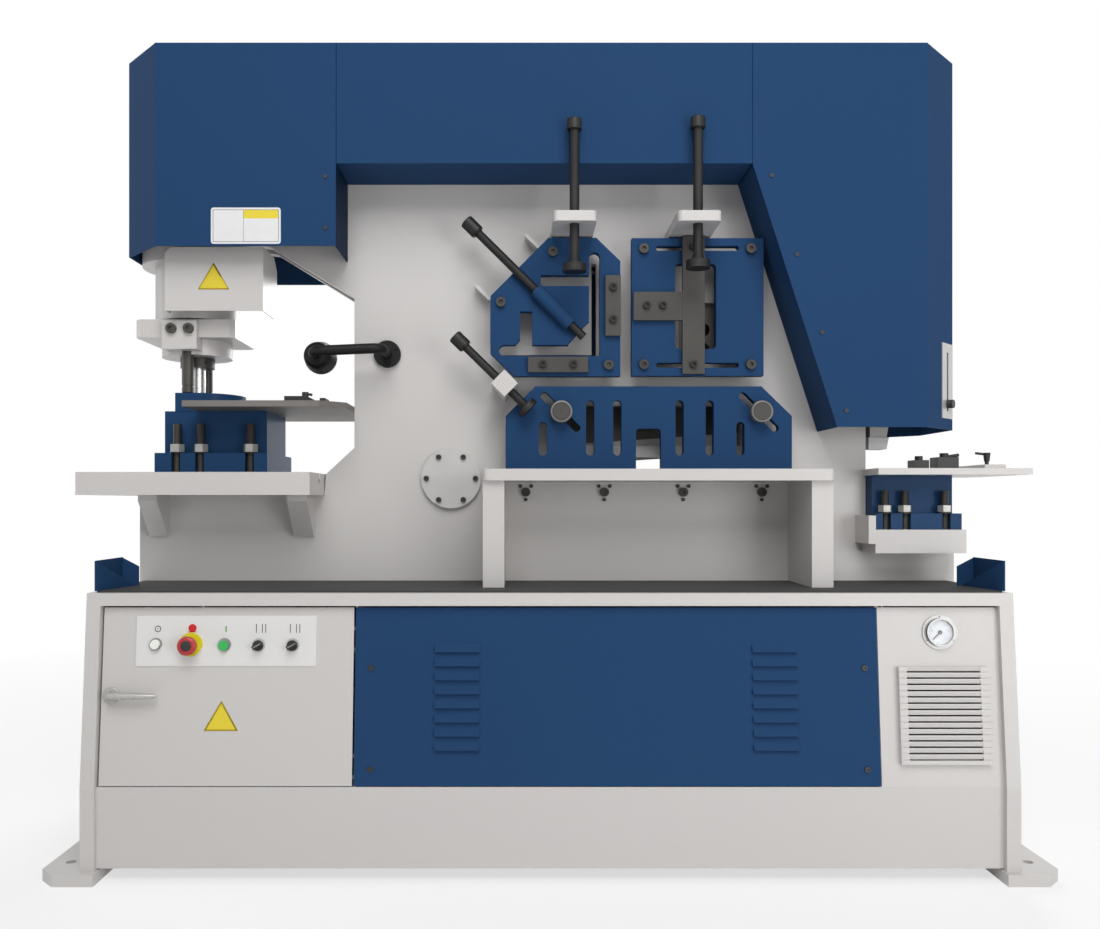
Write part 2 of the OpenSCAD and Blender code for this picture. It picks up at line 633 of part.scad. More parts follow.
module die_block() color(BLUE) difference() {
    union() {
        box([-927, -125, die_z[0]], [-661, 125, die_z[1]]);
        box([-913, -95, die_z[1]], [-669, 95, die_z[2]]);
        box([-888, -97, die_z[2]], [-845, 97, die_z[3]]);
        translate([0, 0, die_z[2]]) intersection() {
            translate([-845, 0, 0]) cylinder(r = 97, h = die_z[3] - die_z[2]);
            translate([-846, -100, 0]) cube([200, 200, 100]);
        }
    }
    front_and_rear() {
        for (x = clamp_x) {
            rod_z(x, -clamp_y, die_z[0] - 1, die_z[1] + 1, 21);
            box([x - 10.5, -126, die_z[0] - 1], [x + 10.5, -clamp_y, die_z[1] + 1]);
        }
        rod_z(ram_x, -post_y, 960, die_z[3] + 1, post_d + 2);
    }
    rod_z(ram_x, 0, 1000, die_z[3] + 1, punch_d + 2);
    rod_z(ram_x, 0, die_z[0] - 1, 1001, slug_d);
}
module die_table() color(STEEL) difference() {
    xy([[-832, -216], [-520, -216], [-467, -163], [-467, 216], [-832, 216]], die_z[2], die_z[2] + 14);
    rod_z(-845, 0, die_z[2] - 1, die_z[2] + 20, 2 * 98);
}

// ---- beam, pins and cylinder ----
module pivot_pins() color([0.70, 0.70, 0.69]) {
    rod_y(pivot[0], -po_y - 1, po_y + 1, pivot[1], pivot_d);
    front_and_rear() rod_y(pivot[0], -po_y - 12, -po_y, pivot[1], 144);
    rod_y(cyl_pin[0], -po_y - 1, po_y + 1, cyl_pin[1], 50);
    front_and_rear() rod_y(cyl_pin[0], -po_y - 8, -po_y, cyl_pin[1], 70);
}
// Cutting edge of the upper blade at rest: it comes level at the end of the stroke
edge_z = pivot[1] + (blade_top - overlap - pivot[1]) / cos(stroke_deg);
function blade_line(x) = edge_z + (x - pivot[0]) * tan(stroke_deg);
nose = [[794, 962], [844, 962]];
beam_line = concat([[-150, blade_line(-150)], [745, blade_line(745) + 2], [748, 1000],
    [798, 1000], [798, 962], [840, 962], [846, 1000], [940, 1010], [940, 1150], [800, 1150],
    [760, 1180], [560, 1540], [-200, 1480], [-320, 1000], [-330, 900]]);
blade_back = -4;
module shear_beam() color(OXIDE) difference() {
    to_xz(-beam_y, beam_y) difference() {
        union() {
            polygon(beam_line);
            translate(pivot) circle(r = 115);
        }
        translate(pivot) circle(d = pivot_d + 2 * run_fit);
        translate(rod_pin) circle(d = 60);
        angle_opening(angle_w + 2);
        bar_holes();
    }
    // Rebate for the upper blade
    xz([[blade_x[0], 0], [blade_x[1], 0], [blade_x[1], blade_line(blade_x[1]) + blade_h],
        [blade_x[0], blade_line(blade_x[0]) + blade_h]], -beam_y - 1, blade_back);
}
// What the beam carries: the upper blade, the notching tool and the cylinder's pin
module beam_tools() color([0.5, 0.5, 0.5]) {
    xz([for (p = [[0, 0], [1, 0], [1, blade_h], [0, blade_h]])
        [blade_x[p[0]], blade_line(blade_x[p[0]]) + p[1]]], 0.3 - pi_y, blade_back);
    xz([[nose[0][0], 933], [nose[1][0] - 6, 933], nose[1], nose[0]], -25, 25);
    rod_y(rod_pin[0], -52, 52, rod_pin[1], 60);
}
// Blades fixed in the front plate: the flat shear's, and the bar shear's with its holes
module fixed_blades() color([0.55, 0.55, 0.55]) {
    box([blade_x[0], -pi_y - 23, blade_top - blade_h], [blade_x[1], -pi_y, blade_top]);
    to_xz(-pi_y - 12, -pi_y) difference() {
        translate(bar_cut[0]) square(bar_cut[1] - bar_cut[0]);
        bar_holes();
    }
}

// Shear cylinder: eye on the upper pin, barrel, and the rod with its fork
barrel_z = [1210, 1580];
module shear_cylinder() color(STEEL) difference() {
    union() {
        to_xz(-beam_y, beam_y) {
            translate(cyl_pin) circle(r = 45);
            translate([cyl_pin[0] - 45, barrel_z[1] - 1]) square([90, cyl_pin[1] - barrel_z[1] + 1]);
        }
        rod_z(cyl_pin[0], 0, barrel_z[0], barrel_z[1], 150);
    }
    rod_y(cyl_pin[0], -30, 30, cyl_pin[1], 50 + 2 * run_fit);
    rod_z(cyl_pin[0], 0, barrel_z[0] - 1, 1260, 60 + 2 * run_fit);
    rod_z(cyl_pin[0], 0, 1250, barrel_z[1] - 20, 120);
}
open_fit = 1;
module shear_rod() color([0.7, 0.7, 0.7]) {
    rod_z(cyl_pin[0], 0, 1185, 1500, 60);
    rod_z(cyl_pin[0], 0, 1480, 1540, 120 - 2 * run_fit);
    difference() {
        to_xz(-46, 46) {
            translate(rod_pin) circle(r = 46);
            translate([rod_pin[0] - 46, rod_pin[1]]) square([92, 100]);
        }
        box([700, -beam_y - 1, 1000], [1000, beam_y + 1, 1166]);
        rod_y(rod_pin[0], -60, 60, rod_pin[1], 60 + 2 * open_fit);
    }
}

// ---- shear stations ----
plate_back = station_y - 25;
shelf_x = [-147, 636];
module shelf() color(WHITE) {
    z = [851, 877];
    y0 = -267;
    // Rounded front corners, as seen from above
    translate([0, 0, z[0]]) linear_extrude(z[1] - z[0]) {
        rounded2([shelf_x[0], y0], [shelf_x[1], -po_y - 20], 12);
        translate([shelf_x[0], -po_y - 60]) square([shelf_x[1] - shelf_x[0], 60]);
    }
    for (x = [shelf_x[0], shelf_x[1] - 48])
        box([x, y0 + 14, mat_z], [x + 48, -po_y, z[0]]);
}

// Directions along the two slanting screws
function along(p, q) = (q - p) / norm(q - p);
diag = [[-163, 1435], [85, 1190]];
sleeve = [[-27, 1300], [55, 1219]];
diag_y = -station_y - 14;
// A round bar between two points in X and Z at the depth y
module rod_pq(p, q, y, d) translate([p[0], y, p[1]])
    rotate([0, 90 - atan2(q[1] - p[1], q[0] - p[0]), 0]) cylinder(d = d, h = norm(q - p));

module angle_plate() color(BLUE) difference() {
    w = angle_slot;
    union() {
        to_xz(-station_y, -plate_back) difference() {
            polygon([[3, 1427], [-134, 1289], [-134, 1154], [-78, 1100], [173, 1100],
                [173, 1372], [116, 1427]]);
            // Outer L for the angle section
            slot2([112, 1163], [112, 1380], w);
            translate([112 - w / 2, 1148]) square([w, 30]);
            slot2([-101, 1148 + w / 2], [80, 1148 + w / 2], w);
            translate([0, 1148]) square([112 + w / 2, w]);
            polygon([[-78, 1170], [-60, 1170], [-60, 1192], [-64, 1188]]);
            // Branches that free the hold-down block in the middle
            translate([-15, 1313]) square([120, w]);
            translate([-64, 1165]) square([29, 88]);
            polygon([[97, 1228], [100, 1228], [100, 1170], [50, 1170], [50, 1177]]);
        }
        rod_pq(sleeve[0], sleeve[1], diag_y, 34);
    }
    rod_pq(diag[0], diag[1] + 28 * along(diag[0], diag[1]), diag_y, 20 + 2 * run_fit);
    rod_y(14, -station_y - 1, -plate_back + 1, 1393, 13);
}
bar_slide_z = [[1396, 1408], [1120, 1132]];
bar_bolts = [[228, 1400], [480, 1400], [228, 1127], [480, 1127]];
angle_bolts = [[14, 1393], [-109, 1274], [145, 1126]];
module bar_plate() color(BLUE) to_xz(-station_y, -plate_back) difference() {
    translate([200, 1101]) square([311, 325]);
    for (z = bar_slide_z) slot2([263, (z[0] + z[1]) / 2], [447, (z[0] + z[1]) / 2], z[1] - z[0]);
    rounded2([302, 1164], [399, 1366], 11);
}

// Spacers, gussets and the screws' brackets, all welded to the frame's outer face
screw_y = -228;
angle_screw_x = 59;
bar_screw_x = 338;
corner = [[-191, 1165], [-100, 1078], [-46.5, 1023]];
corner_y = -station_y - 28;
module station_supports() color(WHITE) {
    for (p = concat(bar_bolts, angle_bolts)) rod_y(p[0], -plate_back, -po_y, p[1], 34);
    for (s = [[-150, 1303], [-30, 1424]]) translate([s[0], -po_y, s[1]])
        rotate([0, 45, 0]) box([-28, -38, -4], [20, 0, 4]);
    for (x = [angle_screw_x, bar_screw_x]) difference() {
        translate([0, 0, 1431]) linear_extrude(23) {
            rounded2([x - 49, -256], [x + 49, -po_y - 20], 12);
            translate([x - 49, -po_y - 60]) square([98, 60]);
        }
        rod_z(x, screw_y, 1400, 1500, 22 + 2 * run_fit);
    }
    difference() {
        translate([corner[1][0], -po_y, corner[1][1]]) rotate([0, 45, 0])
            box([-22, po_y - 175, -22], [22, 0, 22]);
        rod_pq(corner[0], corner[2], corner_y, 20 + 2 * run_fit);
    }
}

bar_t = 12;
module guide_bars() color(STEEL) {
    front = -station_y - bar_t;
    box([137, front, 1194], [173, -station_y, 1336]);
    box([-45, front, 1108], [96, -station_y, 1144]);
    box([203, front, 1230], [317.7, -station_y, 1297]);
    for (p = [[155, 1308], [155, 1232], [-10, 1127], [62, 1127], [234, 1265], [272, 1265]])
        screw_head(p[0], front, p[1], 18, 8);
}
// Upright guide of the bar shear, clamped in the plate's two slots
bar_guide_x = [318, 370];
slide_gap = 0.3;
module bar_guide() color(STEEL) {
    y1 = -station_y - slide_gap;
    box([bar_guide_x[0], y1 - bar_t, 1104], [bar_guide_x[1], y1, 1429]);
    for (z = bar_slide_z) {
        c = (z[0] + z[1]) / 2;
        screw_head(344, y1 - bar_t, c, 18, 8);
        rod_y(344, y1 - 1, -plate_back + 8, c, 11);
        rod_y(344, -plate_back + slide_gap, -plate_back + 9, c, 22);
    }
}

// Hold-down screws
module hold_down(x, head, tip) {
    rod_z(x, screw_y, tip + 10, head + 2, 22);
    rod_z(x, screw_y, head - 24, head + 6, 22);
    difference() {
        rod_z(x, screw_y, head, head + 26, 30);
        translate([x, screw_y, head + 12]) cylinder(d = 17, h = 20, $fn = 6);
    }
    rod_z(x, screw_y, tip, tip + 18, 54);
    rod_z(x, screw_y, tip + 18, tip + 30, 26);
}
module angle_screw() color(OXIDE) hold_down(angle_screw_x, 1642, 1322);
module bar_screw() color(OXIDE) hold_down(bar_screw_x, 1646, 1330);
module diagonal_screw() color(OXIDE) {
    u = along(diag[0], diag[1]);
    rod_pq(diag[0], diag[1], diag_y, 20);
    rod_pq(diag[0] - 39 * u, diag[0] + u, diag_y, 30);
}
module corner_screw() color(OXIDE) {
    u = along(corner[0], corner[2]);
    rod_pq(corner[0], corner[2], corner_y, 20);
    rod_pq(corner[0] - 36 * u, corner[0] + u, corner_y, 30);
    rod_pq(corner[2] - 7 * u, corner[2] + 7 * u, corner_y, 51);
}

// Guard over the flat shear: slots for the work, slides up on two knobs
guard_slot = 19.5;
guard_z0 = 912.5;
guard_slots = [[-9.7, 992], [456.6, 992], [101.8, 1043], [165.9, 1043], [313, 1043], [384, 1043]];
guard_knobs = [[32.6, 1014.5], [501, 1014.3]];
guard_run = 28;
knob_slot = [[-39, 39], [37, -37]];
module flat_guard() color(BLUE) to_xz(-station_y, -plate_back - slide_gap) difference() {
    polygon([[-98, 877.3], [578, 877.3], [578, 1006], [506, 1076], [-28, 1076], [-98, 1006]]);
    for (s = guard_slots) slot2([s[0], guard_z0 + guard_slot / 2], [s[0], s[1] - guard_slot / 2], guard_slot);
    rounded2([210, 870], [269, 976.5], 9);
    for (k = guard_knobs) slot2(k + knob_slot[0], k + knob_slot[1], 18);
}

// ---- notcher ----
notch_gap = 0.8;
notch_hole = [[nose[0][0] - notch_gap, -25 - notch_gap], [nose[1][0] + 5 + notch_gap, 25 + notch_gap]];
module notch_support() color(WHITE) {
    difference() {
        box([plate_right, -146, step_z[1]], [981, 146, 738]);
        box([notch_hole[0][0], notch_hole[0][1], 600], [notch_hole[1][0], notch_hole[1][1], 900]);
    }
    front_and_rear() box([752, -146, 705], [769, -po_y, 771]);
    front_and_rear() box([768, -146, step_z[1]], [778, -po_y - 1, 738]);
}
notch_studs = [802, 849, 943];
module notch_die() color(BLUE) difference() {
    union() {
        box([plate_right, -125, 738], [979, 125, 776]);
        box([778, -95, 776], [969, 95, 867]);
    }
    front_and_rear() for (x = notch_studs) {
        rod_z(x, -clamp_y, 730, 780, 19);
        box([x - 9.5, -126, 730], [x + 9.5, -clamp_y, 780]);
    }
    box([notch_hole[0][0], notch_hole[0][1], 700], [notch_hole[1][0], notch_hole[1][1], 900]);
}
module notch_table() color(WHITE) difference() {
    union() {
        xy([[770, -160], [1129, -160], [1129, 110], [1079, 160], [770, 160]], 867, 882);
        box([1036, -120, 881], [1086, 60, 892]);
    }
    box([760, -po_y, 860], [778, po_y, 900]);
    box([notch_hole[0][0], notch_hole[0][1], 860], [notch_hole[1][0], notch_hole[1][1], 900]);
}
// Adjustable stops: two blocks with knobs and a clamp lever on the notching table, and
// one block on the punch station's table
module table_stops() color(OXIDE) {
    box([866, -130, 882], [900, -86, 902]);
    rod_z(884, -108, 901, 912, 18);
    box([921, -130, 882], [970, -82, 909]);
    rod_z(945, -106, 908, 919, 20);
    rod_pq([957, 911], [982, 915], -100, 8);
    rod_z(1046, -108, 892, 900, 9);
    translate([1046, -108, 899]) cylinder(d1 = 12, d2 = 17, h = 21);
    rod_pq([1046, 916], [1019, 919], -108, 6);
    box([-600, -214, 1034], [-549, -130, 1044]);
    xz([[-551, 1034], [-551, 1044], [-549, 1044], [-529, 1034]], -214, -150);
    rod_z(-557, -190, 1043, 1055, 15);
    rod_pq([-557, 1051], [-541, 1049], -190, 6);
    box([-522, -200, 1034], [-510, -150, 1041]);
}

// ---- lamp ----
lamp_at = [-386, 1162];
lamp_tilt = -2.5;
lamp_bend = 28;
lamp_out = 104;
lamp_run = 165;
lamp_pin = -60;
lamp_tube = 24;
module lamp_frame() translate([lamp_at[0], -po_y, lamp_at[1]]) rotate([0, lamp_tilt, 0]) children();
// A quarter bend of the arm's tube about the centre p, from the angle a on
module lamp_elbow(p, a) translate([p[0], p[1], 0]) rotate([0, 0, a]) rotate_extrude(angle = 90)
    translate([lamp_bend, 0]) circle(d = lamp_tube);
module lamp_arm() color(BLACK) lamp_frame() {
    y1 = lamp_bend - lamp_out;
    rod_y(0, -12, 0, 0, 65);
    for (a = [90, 210, 330]) rotate([0, a, 0]) rod_y(25, -15, -11, 0, 8);
    rod_y(0, y1, -11, 0, lamp_tube);
    lamp_elbow([-lamp_bend, y1], -90);
    rod_x(lamp_bend - lamp_run, -lamp_bend, -lamp_out, 0, lamp_tube);
    lamp_elbow([lamp_bend - lamp_run, y1], 180);
    // Fork with the swivel pin
    difference() {
        rod_y(-lamp_run, y1 - 1, lamp_pin + 4, 0, lamp_tube - 4);
        box([-lamp_run - 20, y1 + 3, -6], [20 - lamp_run, 0, 6]);
    }
    rod_z(-lamp_run, lamp_pin, -9, 9, 8);
}
// Shade round the bulb, on a tongue in the fork
module lamp_head() color(BLACK) lamp_frame() translate([-lamp_run, lamp_pin + 35, 0]) {
    difference() {
        union() {
            rotate([-90, 0, 0]) rotate_extrude() polygon([[0, -22], [24, -22], [31, -14],
                [33.5, -4], [39, 30], [39.5, 36], [39.5, 40], [36.5, 40], [36.5, 30], [31, -2],
                [28, -14], [20, -18], [0, -18]]);
            box([-7, -41, -5.7], [7, -20, 5.7]);
        }
        rod_z(0, -35, -12, 12, 8 + 2 * run_fit);
    }
    rod_y(0, -19, -8, 0, 24);
    translate([0, 4, 0]) sphere(d = 36);
}

// ---- fasteners ----
cover_screws = [[-508, 1545], [-507, 1428], [510, 1547], [567, 1367], [624, 1190], [680, 1011]];
adjusters = [-50, 141, 333, 524];
module fasteners() color(OXIDE) {
    front_and_rear() for (s = cover_screws) screw_head(s[0], -cover_y, s[1], 9, 3);
    for (p = concat(bar_bolts, angle_bolts)) screw_head(p[0], -station_y, p[1], 23, 10);
    // Screws of the pivot's caps
    front_and_rear() for (a = [0 : 60 : 300])
        screw_head(pivot[0] + 59.5 * cos(a), -po_y - 12, pivot[1] + 59.5 * sin(a), 13, 7);
    // Adjusting screws of the blade
    for (x = adjusters) {
        screw_head(x, -po_y, 827, 22, 10);
        for (d = [[-13.4, 14.6], [13.4, 14.6], [0, -18]]) screw_head(x + d[0], -po_y, 827 + d[1], 9, 4);
    }
    // Knobs of the flat shear's guard
    for (k = guard_knobs) {
        rod_y(k[0], -plate_back, -po_y, k[1], 30);
        rod_y(k[0], -station_y - 1, -plate_back + 1, k[1], 16);
        rod_y(k[0], -station_y - 9, -station_y - 0.4, k[1], 34);
        rod_y(k[0], -station_y - 30, -station_y - 8, k[1], 51);
    }
    // Studs and nuts that clamp the punch die's flange
    front_and_rear() for (x = clamp_x) {
        rod_z(x, -clamp_y, die_z[0], 988, 20);
        rod_z(x, -clamp_y, die_z[1], die_z[1] + 3, 34);
        translate([x, -clamp_y, die_z[1] + 3]) cylinder(d = 34, h = 18, $fn = 6);
    }
    front_and_rear() for (x = notch_studs) {
        rod_z(x, -clamp_y, 738, 830, 18);
        rod_z(x, -clamp_y, 776, 780, 34);
        translate([x, -clamp_y, 780]) cylinder(d = 32, h = 15, $fn = 6);
    }
    // Hinge pins of the door
    on_front() for (w = hinge_w) translate([hinge_x, hinge_d, w - knuckle_h / 2 - 7])
        cylinder(d = hinge_d0, h = knuckle_h + 14);
    // Screws of the front panel
    for (x = [-382, 672], z = [236, 448]) on_front() screw_head(x, 0, lean_z(z), 12, 3);
}

base_cabinet();
worktop_mat();
front_panel();
rear_panel();
vent_grille();
gauge_body();
gauge_lens();
gauge_needle();
scrap_boxes();
front_frame_plate();
rear_frame_plate();
frame_packers();
left_cover();
middle_cover();
right_cover();
rear_cover();
fasteners();
punch_cylinder();
punch_ram();
tool_plate();
punch_holder();
punch();
punch_guard();
punch_table();
die_block();
die_table();
pivot_pins();
shear_beam();
beam_tools();
fixed_blades();
shear_cylinder();
shear_rod();
shelf();
angle_plate();
bar_plate();
station_supports();
guide_bars();
bar_guide();
angle_screw();
bar_screw();
diagonal_screw();
corner_screw();
flat_guard();
notch_support();
notch_die();
notch_table();
table_stops();
door();
door_handle();
control_plate();
estop_button();
start_button();
selector_left();
selector_right();
stroke_plate();
stroke_knob();
lamp_arm();
lamp_head();
electrical_panel();
power_unit();
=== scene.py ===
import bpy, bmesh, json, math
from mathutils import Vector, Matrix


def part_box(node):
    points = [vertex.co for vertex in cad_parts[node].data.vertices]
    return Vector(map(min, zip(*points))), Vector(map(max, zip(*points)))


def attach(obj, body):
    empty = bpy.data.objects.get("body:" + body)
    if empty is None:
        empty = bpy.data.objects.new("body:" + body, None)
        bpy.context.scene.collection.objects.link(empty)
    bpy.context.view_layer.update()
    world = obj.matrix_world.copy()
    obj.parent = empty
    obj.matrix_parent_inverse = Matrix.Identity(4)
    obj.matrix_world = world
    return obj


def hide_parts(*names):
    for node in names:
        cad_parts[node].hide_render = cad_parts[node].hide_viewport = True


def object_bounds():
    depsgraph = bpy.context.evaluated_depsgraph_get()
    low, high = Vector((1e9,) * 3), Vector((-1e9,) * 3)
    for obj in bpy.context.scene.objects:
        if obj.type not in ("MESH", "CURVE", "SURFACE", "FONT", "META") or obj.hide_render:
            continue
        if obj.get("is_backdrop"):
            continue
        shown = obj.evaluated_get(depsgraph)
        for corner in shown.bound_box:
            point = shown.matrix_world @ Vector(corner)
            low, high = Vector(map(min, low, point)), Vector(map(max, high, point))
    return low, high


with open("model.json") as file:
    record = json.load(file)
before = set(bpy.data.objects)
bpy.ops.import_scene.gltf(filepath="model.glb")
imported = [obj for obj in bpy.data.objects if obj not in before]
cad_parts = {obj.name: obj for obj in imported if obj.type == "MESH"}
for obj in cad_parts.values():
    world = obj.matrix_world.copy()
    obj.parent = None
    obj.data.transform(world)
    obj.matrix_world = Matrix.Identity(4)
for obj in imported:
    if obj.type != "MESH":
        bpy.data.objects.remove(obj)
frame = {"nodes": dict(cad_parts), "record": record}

# %% [markdown]
# # A hydraulic ironworker
# What is left for Blender is what a painter, a turner and a sign maker would add: the
# finishes, the dial, the labels, the knurls and the light. First the size of the bare
# frame is noted; the end prints it beside the size of the finished scene.

# %% Measure the frame
nodes = frame["nodes"]
size = {"cad": [list(v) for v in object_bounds()]}
low, high = (Vector(v) for v in size["cad"])
print("frame", [round(v, 3) for v in high - low], len(nodes), "nodes")

# %% [markdown]
# ## Places on the machine
# A label or a knob goes where the frame says. `middle` is the centre of a node's box. The
# cabinet's front leans back by a few degrees, so the directions up that sheet and into it
# are read from the two joints that already point that way.

# %% Directions and places
joints = {j["name"]: j for j in frame["record"]["behaviour"]["joints"]}
INWARD = Vector(joints["estop_press"]["axis"])
UPWARD = Vector(joints["door_swing"]["axis"])
BEND = Vector((0, -0.371, 0.2))
X, Y, Z = Vector((1, 0, 0)), Vector((0, 1, 0)), Vector((0, 0, 1))


def middle(node):
    a, b = (Vector(v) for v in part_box(node))
    return (a + b) / 2


def on_front(x, z, proud=0.0):
    """A point on the leaning front at X and height Z, standing proud of the sheet."""
    return BEND + X * x + UPWARD * ((z - BEND.z) / UPWARD.z) - INWARD * proud


print("front leans", round(math.degrees(math.asin(-INWARD.z)), 2), "degrees")

# %% [markdown]
# ## Shader arithmetic
# Every finish on this machine is a small formula: a base colour, a slow drift in it,
# fine grain, a little wear. Formulas read best as Python expressions, so `Value` wraps a
# socket and lets `+ - * /` add Math nodes. `Finish` holds one material and adds any other
# node with a single method. A comparison gives 1 or 0, which makes a mask.

# %% Sockets as numbers
class Value:
    def __init__(self, finish, socket):
        self.finish, self.socket = finish, socket

    def math(self, operation, *others, clamp=False):
        values = {i + 1: o for i, o in enumerate(others)}
        return self.finish.node("ShaderNodeMath", {"operation": operation, "use_clamp": clamp},
                                {0: self, **values})

    def __add__(self, o): return self.math("ADD", o)
    def __sub__(self, o): return self.math("SUBTRACT", o)
    def __mul__(self, o): return self.math("MULTIPLY", o)
    def __truediv__(self, o): return self.math("DIVIDE", o)
    def __gt__(self, o): return self.math("GREATER_THAN", o)
    def __lt__(self, o): return self.math("LESS_THAN", o)
    def __abs__(self): return self.math("ABSOLUTE")
    def __rsub__(self, o): return self.finish.node("ShaderNodeMath", {"operation": "SUBTRACT"},
                                                   {0: o, 1: self})
    __radd__, __rmul__ = __add__, __mul__


class Finish:
    def __init__(self, name):
        self.material = bpy.data.materials.new(name)
        self.material.use_nodes = True
        self.tree = self.material.node_tree
        self.surface = self.tree.nodes["Principled BSDF"]
        self.place = self.node("ShaderNodeTexCoord", out="Object")

    def node(self, kind, settings={}, inputs={}, out=0):
        n = self.tree.nodes.new(kind)
        for key, setting in settings.items():
            setattr(n, key, setting)
        for key, value in inputs.items():
            self.feed(n.inputs[key], value)
        return Value(self, n.outputs[out])

    def feed(self, socket, value):
        if isinstance(value, Value):
            self.tree.links.new(value.socket, socket)
        else:
            socket.default_value = value

    def set(self, **inputs):
        for name, value in inputs.items():
            self.feed(self.surface.inputs[name.replace("_", " ")], value)
        return self

    @property
    def colour(self):
        """The base colour as it stands, for mixing more into it."""
        return Value(self, self.surface.inputs["Base Color"].links[0].from_socket)

    def noise(self, scale, detail=3.0, stretch=(1, 1, 1)):
        where = self.node("ShaderNodeMapping", {}, {"Vector": self.place, "Scale": stretch})
        return self.node("ShaderNodeTexNoise", {}, {"Vector": where, "Scale": scale,
                                                    "Detail": detail})

    def mix(self, factor, a, b):
        return self.node("ShaderNodeMix", {"data_type": "RGBA"}, {0: factor, 6: a, 7: b}, out=2)

    def bump(self, height, distance, strength):
        return self.node("ShaderNodeBump", {}, {"Height": height, "Distance": distance,
                                                "Strength": strength})

    def axis(self, name):
        return self.node("ShaderNodeSeparateXYZ", {}, {0: self.place}, out=name)

    def along(self, direction):
        """How far a point lies along a direction."""
        return self.node("ShaderNodeVectorMath", {"operation": "DOT_PRODUCT"},
                         {0: self.place, 1: tuple(direction)}, out="Value")

    def off_centre(self, centre):
        """The square of the distance from a centre, measured in the leaning front."""
        u = self.along(X) - X.dot(centre)
        v = self.along(UPWARD) - UPWARD.dot(centre)
        return u * u + v * v

    def round_spot(self, centre, radius):
        """1 inside a round of this radius on the leaning front, 0 outside it."""
        return self.off_centre(centre) < radius * radius

    def between(self, value, a, b):
        return (value > a) * (value < b)


def rgb(r, g, b):
    """A colour given in the usual 0 to 255, as the linear values a shader wants."""
    def linear(c):
        c /= 255
        return c / 12.92 if c < 0.04045 else ((c + 0.055) / 1.055) ** 2.4
    return (linear(r), linear(g), linear(b), 1.0)


def scaled(colour, k):
    return tuple(min(1.0, c * k) for c in colour[:3]) + (1.0,)


print("helpers ready")

# %% [markdown]
# ## Paint
# Covers and frame are powder coated: an even colour with a fine orange peel, which shows
# only where light grazes the sheet. A slow drift in colour and roughness stops big flat
# sheets from looking like card. The die blocks carry the same blue in a glossier enamel,
# which mirrors the studs in front of it.

# %% Powder coat
def coat(name, colour, roughness, drift=0.06, peel=0.00004, sheen=0.4):
    f = Finish(name)
    slow = f.noise(1.7, 2.0)
    grain = f.noise(900.0, 1.0)
    f.set(Base_Color=f.mix(slow, scaled(colour, 1 - drift), scaled(colour, 1 + drift)),
          Roughness=roughness + (slow - 0.5) * 0.12,
          Normal=f.bump(grain, peel, 0.6), Specular_IOR_Level=sheen)
    return f


BLUE = rgb(39, 68, 105)
WHITE = rgb(200, 197, 195)
blue_paint = coat("blue powder coat", BLUE, 0.45, sheen=0.01).material
block_enamel = coat("block enamel", rgb(36, 66, 102), 0.22, 0.04, 0.00002, 0.04).material
white_paint = coat("white powder coat", WHITE, 0.35, 0.02).material
print("paints", blue_paint.name, block_enamel.name, white_paint.name)

# %% [markdown]
# ## Metals
# Black oxide is a thin dark layer over steel, so it keeps a dull metal sheen and shows
# warm patches. Ground bars are bare, with fine lines along X. Turned and plated rods are
# smoother, and brightest.

# %% Steel finishes
def steel(name, dark, bright, roughness, metallic, stretch=(1, 1, 1)):
    f = Finish(name)
    patches = f.noise(14.0, 4.0)
    lines = f.noise(160.0, 2.0, stretch)
    f.set(Base_Color=f.mix(patches, dark, bright),
          Roughness=roughness + (lines - 0.5) * 0.18,
          Metallic=metallic, Normal=f.bump(lines, 0.00003, 0.5))
    return f


OXIDE = rgb(52, 52, 50), rgb(82, 79, 74)
SCREW = rgb(28, 28, 29), rgb(50, 49, 48)
black_oxide = steel("black oxide", *OXIDE, 0.48, 0.55)
screw_black = steel("blackened screw", *SCREW, 0.42, 0.5, (1, 1, 5))
ground_steel = steel("ground bar", rgb(96, 94, 91), rgb(116, 113, 109), 0.5, 0.6, (1, 6, 6))
table_steel = steel("table steel", rgb(104, 100, 97), rgb(122, 118, 115), 0.5, 0.5, (1, 8, 8))
bright_steel = steel("bright steel", rgb(186, 186, 186), rgb(205, 205, 204), 0.28, 0.9, (6, 6, 1))
plated = steel("plated trim", rgb(188, 187, 185), rgb(206, 205, 203), 0.34, 0.5)
cap_steel = steel("pivot cap", rgb(180, 179, 177), rgb(196, 195, 193), 0.45, 0.3)
notch_steel = steel("notching tool", rgb(150, 150, 151), rgb(168, 168, 168), 0.4, 0.3)
print("metals", cap_steel.material.name)

# %% [markdown]
# ## Bright nuts among dark screws
# The studs of the two die blocks are black, while the nuts on them are zinc plated. All
# of them sit in one node, so a mask picks the nuts by their height and by how far they
# stand from the middle of the machine. The punch's die is on the left, the notcher's on
# the right, and each has its own heights.

